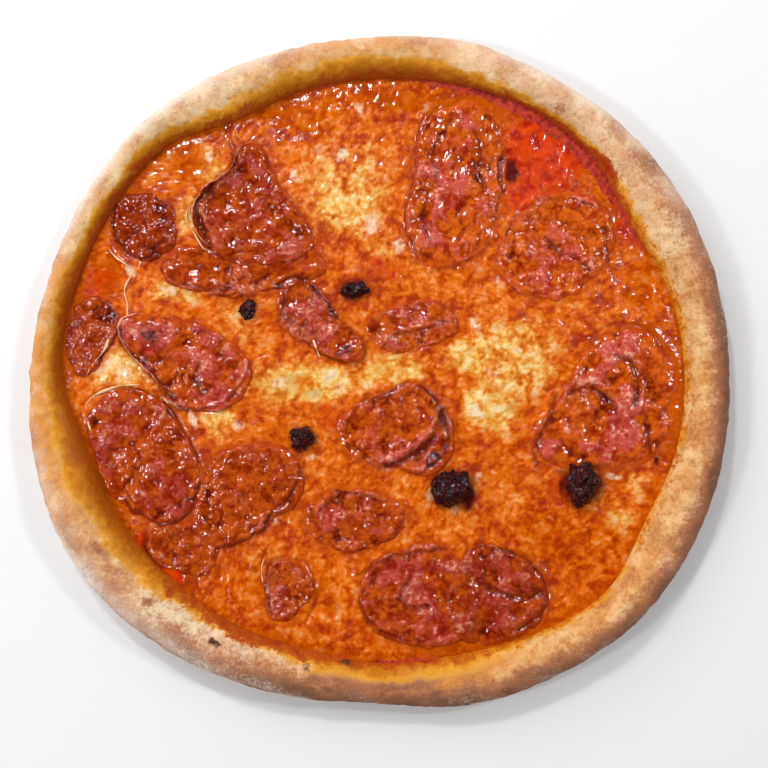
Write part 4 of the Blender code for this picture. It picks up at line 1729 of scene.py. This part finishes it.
@dataclass(frozen=True)
class Salami:
    """The slices, laid one after another over the cheese."""

    thickness: float = 0.0012
    margin: float = 0.0010
    wrinkle: float = 0.0006
    wrinkle_length: float = 0.011
    drape: float = 0.0013
    edge_height: float = 0.0007
    spare: float = 0.0003
    furthest_curl: float = 2.1
    relief: Relief = Relief(0.0038, 0.00024, 0.0058, 0.00060, 6.0)
    cells: int = 84

    def layer_of(self, cut: Slice) -> float:
        """Pattern layer of a slice's own unevenness."""
        return 0.37 * cut.centre[0] + 0.71 * cut.centre[1]

    def edge_lift(self, cut: Slice, share: Values, angle: Values) -> tuple[Values, Values]:
        """Read how a slice's edge rises from the cheese or sinks into it.

        Args:
            cut: The slice.
            share: Share of the way to the edge.
            angle: Direction from the slice's centre.

        Returns:
            How far the edge is raised, from 0 to 1, and the change of height in metres.
        """
        layer = self.layer_of(cut)
        facing = np.clip(np.cos(angle - radians(cut.side[0])), 0, 1)
        rough = swell(np.cos(angle) * 2, np.sin(angle) * 2, 1.0, layer)
        rough = rough + 0.4 * swell(np.cos(angle) * 6, np.sin(angle) * 6, 1.0, layer + 3.3)
        raised = eased(-0.15, 0.45, rough + 0.25 * facing)
        rise = self.edge_height * eased(0.80, 0.98, share) * (raised - cut.lay.value + 0.2)
        return raised, rise

    def shape(self, cut: Slice, ground: Ground) -> tuple[Values, Values, dict[str, Values]]:
        """Work out where a slice lies.

        Args:
            cut: The slice.
            ground: Height of what it lies on.

        Returns:
            The top points, the bottom points and what the finish reads at the top points.
        """
        share, angle = Disc(self.cells).plan()
        outline = cut.outline(angle)
        facing = np.clip(np.cos(angle - radians(cut.side[0])), 0, 1)
        roll = cut.curl_mm * MM * eased(0.35, 0.85, facing)
        along = share * (outline + roll * 0.6)
        flat = outline - roll
        past = np.clip(along - flat, 0, None)
        with np.errstate(divide="ignore", invalid="ignore"):
            turn = np.where(roll > 1e-5, np.minimum(past / roll, self.furthest_curl), 0)
        reach = np.minimum(along, flat) + roll * np.sin(turn)
        x = cut.centre[0] * MM + reach * np.cos(angle)
        y = cut.centre[1] * MM + reach * np.sin(angle)
        radius = np.hypot(x, y)
        limit = foot_radius(np.arctan2(y, x)) - self.margin
        inside = np.minimum(1, limit / np.maximum(radius, 1e-6))
        x, y = x * inside, y * inside
        laid = ground.read(ground.softened(self.drape), x, y)
        lift = cut.side[1] * MM * facing * share**3 * (0.45 if cut.curl_mm else 0.6)
        waves = swell(x, y, self.wrinkle_length, 4.1)
        ripples = swell(x, y, 0.5 * self.wrinkle_length, 9.2)
        rumple = self.wrinkle * (0.5 + 1.5 * waves + 1.1 * ripples)
        uneven, edge_rise = self.edge_lift(cut, share, angle)
        soft_edge = 0.75 * self.thickness * eased(0.88, 1.0, share) ** 1.5
        curled = roll * (1 - np.cos(turn))
        sunk = cut.lay.value * MM
        crease, shade, fold_lip = folded(x, y)
        top = laid + self.thickness - sunk + lift + rumple + edge_rise + curled - soft_edge + crease
        tilt = np.sin(np.minimum(turn, pi))
        back = self.thickness * (1 - 0.35 * eased(0.9, 1.0, share))
        upper = np.stack([x, y, top], axis=-1)
        lower = np.stack(
            [
                x + back * tilt * np.cos(angle) * (roll > 0),
                y + back * tilt * np.sin(angle) * (roll > 0),
                top - back * np.clip(np.cos(turn), -0.4, 1),
            ],
            axis=-1,
        )
        rolled = eased(0.5, 1.6, turn)
        bright = eased(0.0, 0.4, swell(np.cos(angle) * 3, np.sin(angle) * 3, 1.0, self.layer_of(cut) + 7.7))
        marks = {
            # Where the slice dips between its wrinkles: the finish paints shade there, lays oil there and
            # shows less fat.
            "hollow": np.clip(0.5 - 0.9 * waves - 0.7 * ripples, 0, 1),
            "relief": eased(1.0, 0.93, share) * 0.9 + 0.1,
            "lip": np.clip(0.7 * bump(share - 0.85, 1, 0.07) * uneven * bright + rolled + fold_lip, 0, 1),
            "outline": eased(0.89, 0.95, share) * (0.55 + 0.45 * bright) * (1 - rolled),
            "oil": cut.oil + 0.8 * eased(0.7, 1.0, share) * (1 - uneven),
            "shade": shade,
            "char": painted(cut.char, x, y),
            "baked": np.full(x.shape, cut.baked),
        }
        return upper, lower, marks

    def build(self, name: str, ground: Ground, finish: bpy.types.Material) -> bpy.types.Mesh:
        """Make one slice and add it to the ground.

        Args:
            name: The slice's name.
            ground: Height of what it lies on, which it raises.
            finish: The salami's material.

        Returns:
            The dressed mesh.
        """
        cut = SLICES[name]
        disc = Disc(self.cells)
        upper, lower, top = self.shape(cut, ground)
        count = len(upper)
        edge = disc.edge()
        faces = disc.faces()
        faces = faces + [tuple(count + k for k in reversed(face)) for face in faces]
        faces += wall(edge, [count + k for k in edge])
        under = {key: top[key] for key in ("lip", "char", "oil")}
        marks = {key: np.append(numbers, under.get(key, 0 * numbers)) for key, numbers in top.items()}
        self.cover(cut, ground)
        return self.relief.over(np.vstack([upper, lower]), faces, marks, finish)

    def cover(self, cut: Slice, ground: Ground) -> None:
        """Raise the ground where a slice lies.

        Args:
            cut: The slice.
            ground: The ground, which is changed.
        """
        distance = cut.distance(ground.x, ground.y)
        dx, dy = ground.x - cut.centre[0] * MM, ground.y - cut.centre[1] * MM
        away = np.hypot(dx, dy)
        share = away / (away - distance)
        near = share < 1.1
        covers = eased(0.0004, -0.0006, distance)
        rise = np.zeros(share.shape)
        rise[near] = self.edge_lift(cut, share[near], np.arctan2(dy[near], dx[near]))[1]
        rise = rise + self.thickness - cut.lay.value * MM + self.spare
        ground.heights = ground.heights + rise * covers


@dataclass(frozen=True)
class Sausage:
    """Crumbly dark lumps of sausage."""

    roughness: float = 0.55
    raggedness: float = 0.34
    grain: float = 0.0044
    relief: Relief = Relief(0.0026, 0.00045, 0.005, 0.0005, 8.0)
    divisions: int = 5

    def build(self, name: str, ground: Ground, finish: bpy.types.Material) -> bpy.types.Mesh:
        """Make one lump.

        Args:
            name: The lump's name.
            ground: Height of what it lies on.
            finish: The sausage's material.

        Returns:
            The dressed mesh.
        """
        lump = LUMPS[name]
        bpy.ops.mesh.primitive_ico_sphere_add(subdivisions=self.divisions, radius=1)
        ball = bpy.context.active_object
        mesh = ball.data
        unit = np.array([point.co for point in mesh.vertices])
        faces = [tuple(face.vertices) for face in mesh.polygons]
        bpy.data.objects.remove(ball)
        angle = np.arctan2(unit[:, 1], unit[:, 0])
        round_x, round_y = np.cos(angle) * 2 + lump.centre[0], np.sin(angle) * 2
        ragged = 0.9 + self.raggedness * swell(round_x, round_y, 1.0, 3.9)
        reach = np.hypot(unit[:, 0], unit[:, 1]) * around(lump.radii, angle) * MM * ragged
        x = lump.centre[0] * MM + reach * np.cos(angle)
        y = lump.centre[1] * MM + reach * np.sin(angle)
        tall = lump.height * MM
        places = zip(x.tolist(), y.tolist(), (unit[:, 2] * tall).tolist())
        rough = np.array([noise.noise(Vector(place) / self.grain) for place in places])
        base = float(ground.read(ground.heights, *(np.array(part * MM) for part in lump.centre)))
        z = base + tall * (0.3 + 0.7 * unit[:, 2] * (1 + self.roughness * rough))
        z = np.maximum(z, ground.read(ground.heights, x, y) - 0.0002 + 0.0002 * unit[:, 2])
        top = eased(-0.35, 0.1, unit[:, 2])
        marks = {"relief": top, "bits": top}
        return self.relief.over(np.stack([x, y, z], axis=-1), faces, marks, finish)


@dataclass(frozen=True)
class Strands:
    """Thin strings of cheese, drawn over the toppings along routes in millimetres; their near-white colour is
    partly a painted highlight.
    """

    radius: float = 0.00038
    thickening: Unevenness = Unevenness(2.0, 0.007, 31.0)
    tip: float = 0.15
    routes: tuple[tuple[tuple[float, float], ...], ...] = (
        ((-90, 76), (-91, 70), (-88, 65), (-85, 60), (-83, 56), (-78, 54)),
        ((-127, 56), (-124, 52), (-119, 49), (-115, 45), (-118, 41), (-120, 36), (-118, 31), (-118, 23)),
        ((-115, 45), (-113, 47), (-112, 50)),
        ((-122, 20), (-126, 15), (-128, 8), (-133, 3), (-138, -6)),
        ((-137, -17), (-134, -13), (-127, -10), (-120, -8), (-112, -8)),
        ((-137, -17), (-136, -24), (-134, -29)),
        ((-53, -87), (-55, -93), (-54, -99)),
        ((-31, 13), (-29, 8), (-28, 5)),
    )

    def build(self, ground: Ground, finish: bpy.types.Material) -> bpy.types.Mesh:
        """Make the strings, half sunk in what they lie on.

        Args:
            ground: Height of what they lie on.
            finish: Their material.

        Returns:
            One mesh with all the strings.
        """
        curve = bpy.data.curves.new("strands", "CURVE")
        curve.dimensions = "3D"
        curve.bevel_depth = self.radius
        curve.bevel_resolution = 2
        curve.use_fill_caps = True
        soft = ground.softened(self.radius)
        for route in self.routes:
            path = rounded(route, 3) * MM
            x, y = path[:, 0], path[:, 1]
            z = ground.read(soft, x, y) + folded(x, y)[0] + 0.5 * self.radius
            taper = np.sin(np.linspace(self.tip, pi - self.tip, len(x))) ** 0.5
            thick = taper * (1.0 + self.thickening.at(x, y))
            spline = curve.splines.new("POLY")
            spline.points.add(len(path) - 1)
            for point, place, size in zip(spline.points, zip(x, y, z), thick):
                point.co = (*place, 1)
                point.radius = size
            spline.use_smooth = True
        holder = bpy.data.objects.new("strands", curve)
        bpy.context.scene.collection.objects.link(holder)
        mesh = bpy.data.meshes.new_from_object(holder.evaluated_get(bpy.context.evaluated_depsgraph_get()))
        bpy.data.objects.remove(holder)
        mesh.materials.clear()
        mesh.materials.append(finish)
        return mesh


@dataclass(frozen=True)
class Crumbs:
    """Loose bits of one kind, strewn over some pieces."""

    name: str
    slot: Slot
    finish: BitFinish
    density: float
    size: float
    flatness: float
    seed: int
    spread: float = 0.6

    def build(self, carriers: Sequence[bpy.types.Object]) -> bpy.types.Object:
        """Strew the bits.

        Args:
            carriers: The pieces that they lie on.

        Returns:
            One piece with all the bits.
        """
        copies = [bpy.data.objects.new("carrier", made.data.copy()) for made in carriers]
        for copy in copies:
            bpy.context.scene.collection.objects.link(copy)
        with bpy.context.temp_override(active_object=copies[0], selected_editable_objects=copies):
            bpy.ops.object.join()
        mesh = grown(
            copies[0].data, scattered_bits(), Density=self.density, Size=self.size, Spread=self.spread,
            Flatness=self.flatness, Seed=self.seed, Finish=self.finish.material(),
        )
        bpy.data.objects.remove(copies[0])
        return piece(self.name, mesh, self.slot)


@dataclass(frozen=True)
class Lamp:
    """Square lamp that faces the pizza, with its power in watts and whether it shows as a highlight."""

    name: str
    place: tuple[float, float, float]
    size: float
    power: float
    glints: bool = True

    def hang(self) -> None:
        """Put the lamp in the scene."""
        data = bpy.data.lights.new(self.name, "AREA")
        data.size = self.size
        data.energy = self.power
        made = bpy.data.objects.new(self.name, data)
        made.location = self.place
        made.rotation_euler = Vector(self.place).to_track_quat("Z", "Y").to_euler()
        made.visible_glossy = self.glints
        bpy.context.scene.collection.objects.link(made)


@dataclass(frozen=True)
class Studio:
    """Pale floor, soft light and a camera almost straight above."""

    distance: float = 0.55
    elevation: float = 87
    centre: tuple[float, float, float] = (0.0020, -0.0076, 0.010)
    lens: float = 55.6
    wall_light: float = 0.72
    sidelong: float = 0.25
    ceiling_share: float = 0.14
    mirrored_share: float = 0.12
    floor_colour: Colour = (236, 235, 236)
    floor_half: float = 3
    floor_level: float = -0.0002
    lamps: tuple[Lamp, ...] = (
        Lamp("key_light", (-1.1, 1.1, 1.0), 0.8, 8.0, glints=False),
        Lamp("window_light", (-0.34, 0.80, 1.0), 0.12, 5.0),
        Lamp("side_light", (0.80, 0.35, 1.0), 0.14, 3.6),
        Lamp("far_light", (-0.85, -0.15, 0.95), 0.14, 3.6),
    )

    def build(self) -> None:
        """Make the floor, the lights and the camera."""
        self.floor()
        for lamp in self.lamps:
            lamp.hang()
        bpy.context.scene.world = self.room()
        bpy.context.scene.view_settings.view_transform = "Standard"
        self.camera()

    def room(self) -> bpy.types.World:
        """Light the room softly from its walls, more from the upper left, under a darker ceiling.

        Returns:
            The world that does so.
        """
        world = bpy.data.worlds.new("studio")
        world.use_nodes = True
        graph = Graph(world.node_tree)
        direction = graph.node("ShaderNodeTexCoord").outputs["Generated"]
        split = graph.node("ShaderNodeSeparateXYZ")
        graph.feed(split.inputs[0], direction)
        side = self.sidelong
        walls = graph.total(self.wall_light, (split.outputs["X"], -side), (split.outputs["Y"], side))
        over = graph.stretch(split.outputs["Z"], 0.72, 0.9)
        lit = graph.math("MULTIPLY", walls, graph.total(1.0, (over, self.ceiling_share - 1)))
        mirrored = graph.node("ShaderNodeLightPath").outputs["Is Glossy Ray"]
        strength = graph.math("MULTIPLY", lit, graph.total(1.0, (mirrored, self.mirrored_share - 1)))
        shader = world.node_tree.nodes["Background"]
        shader.inputs["Color"].default_value = (0.96, 0.98, 1.0, 1)
        graph.feed(shader.inputs["Strength"], strength)
        return world

    def floor(self) -> None:
        """Lay the floor just under the pizza."""
        signs = ((-1, -1), (1, -1), (1, 1), (-1, 1))
        corners = [(a * self.floor_half, b * self.floor_half, self.floor_level) for a, b in signs]
        mesh = bpy.data.meshes.new("floor")
        mesh.from_pydata(corners, [], [(0, 1, 2, 3)])
        material = bpy.data.materials.new("floor")
        material.use_nodes = True
        shader = material.node_tree.nodes["Principled BSDF"]
        shader.inputs["Base Color"].default_value = linear(self.floor_colour)
        shader.inputs["Roughness"].default_value = 0.9
        mesh.materials.append(material)
        made = bpy.data.objects.new("floor", mesh)
        bpy.context.scene.collection.objects.link(made)

    def camera(self) -> None:
        """Aim the camera as the photograph was taken."""
        data = bpy.data.cameras.new("camera")
        data.lens = self.lens
        data.sensor_width = 36
        made = bpy.data.objects.new("camera", data)
        tilt = radians(self.elevation)
        target = Vector(self.centre)
        back = Vector((0, -cos(tilt), sin(tilt)))
        made.location = target + back * self.distance
        made.rotation_euler = back.to_track_quat("Z", "Y").to_euler()
        bpy.context.scene.collection.objects.link(made)
        bpy.context.scene.camera = made


# Pale colour of the strings of cheese, partly a painted highlight.
STRAND_AND_HIGHLIGHT_FINISH = BitFinish(
    name="cheese_strands_and_highlights", darker=(242, 196, 146), lighter=(252, 234, 206), wetness=0.9
)
GRAINS = Crumbs(
    "sausage_grains", Slot.SAUSAGE,
    BitFinish(name="sausage_grains", darker=(16, 3, 8), lighter=(96, 20, 26), wetness=0.95),
    260000.0, 0.0006, 0.8, 33,
)


def main() -> None:
    """Build the pizza piece by piece, then the studio."""
    logging.basicConfig(level=logging.INFO, format="%(message)s")
    crust = Crust()
    piece("crust_dressed", crust.build(DoughFinish().material()), Slot.DOUGH, "crust")
    filling = Filling()
    piece("sauce_dressed", filling.build_sauce(SauceFinish().material()), Slot.SAUCE, "tomato_sauce")
    piece("cheese_dressed", filling.build_cheese(CheeseFinish().material()), Slot.CHEESE, "cheese")
    ground = filling.ground()
    salami, salami_finish = Salami(), SalamiFinish().material()
    for name in SLICES:
        piece(name + "_dressed", salami.build(name, ground, salami_finish), Slot.SALAMI, name)
    sausage, sausage_finish = Sausage(), SausageFinish().material()
    lumps = [
        piece(name + "_dressed", sausage.build(name, ground, sausage_finish), Slot.SAUSAGE, name)
        for name in LUMPS
    ]
    piece("cheese_strands_and_highlights", Strands().build(ground, STRAND_AND_HIGHLIGHT_FINISH.material()), Slot.CHEESE)
    GRAINS.build(lumps)
    Studio().build()


if __name__ == "__main__":
    main()
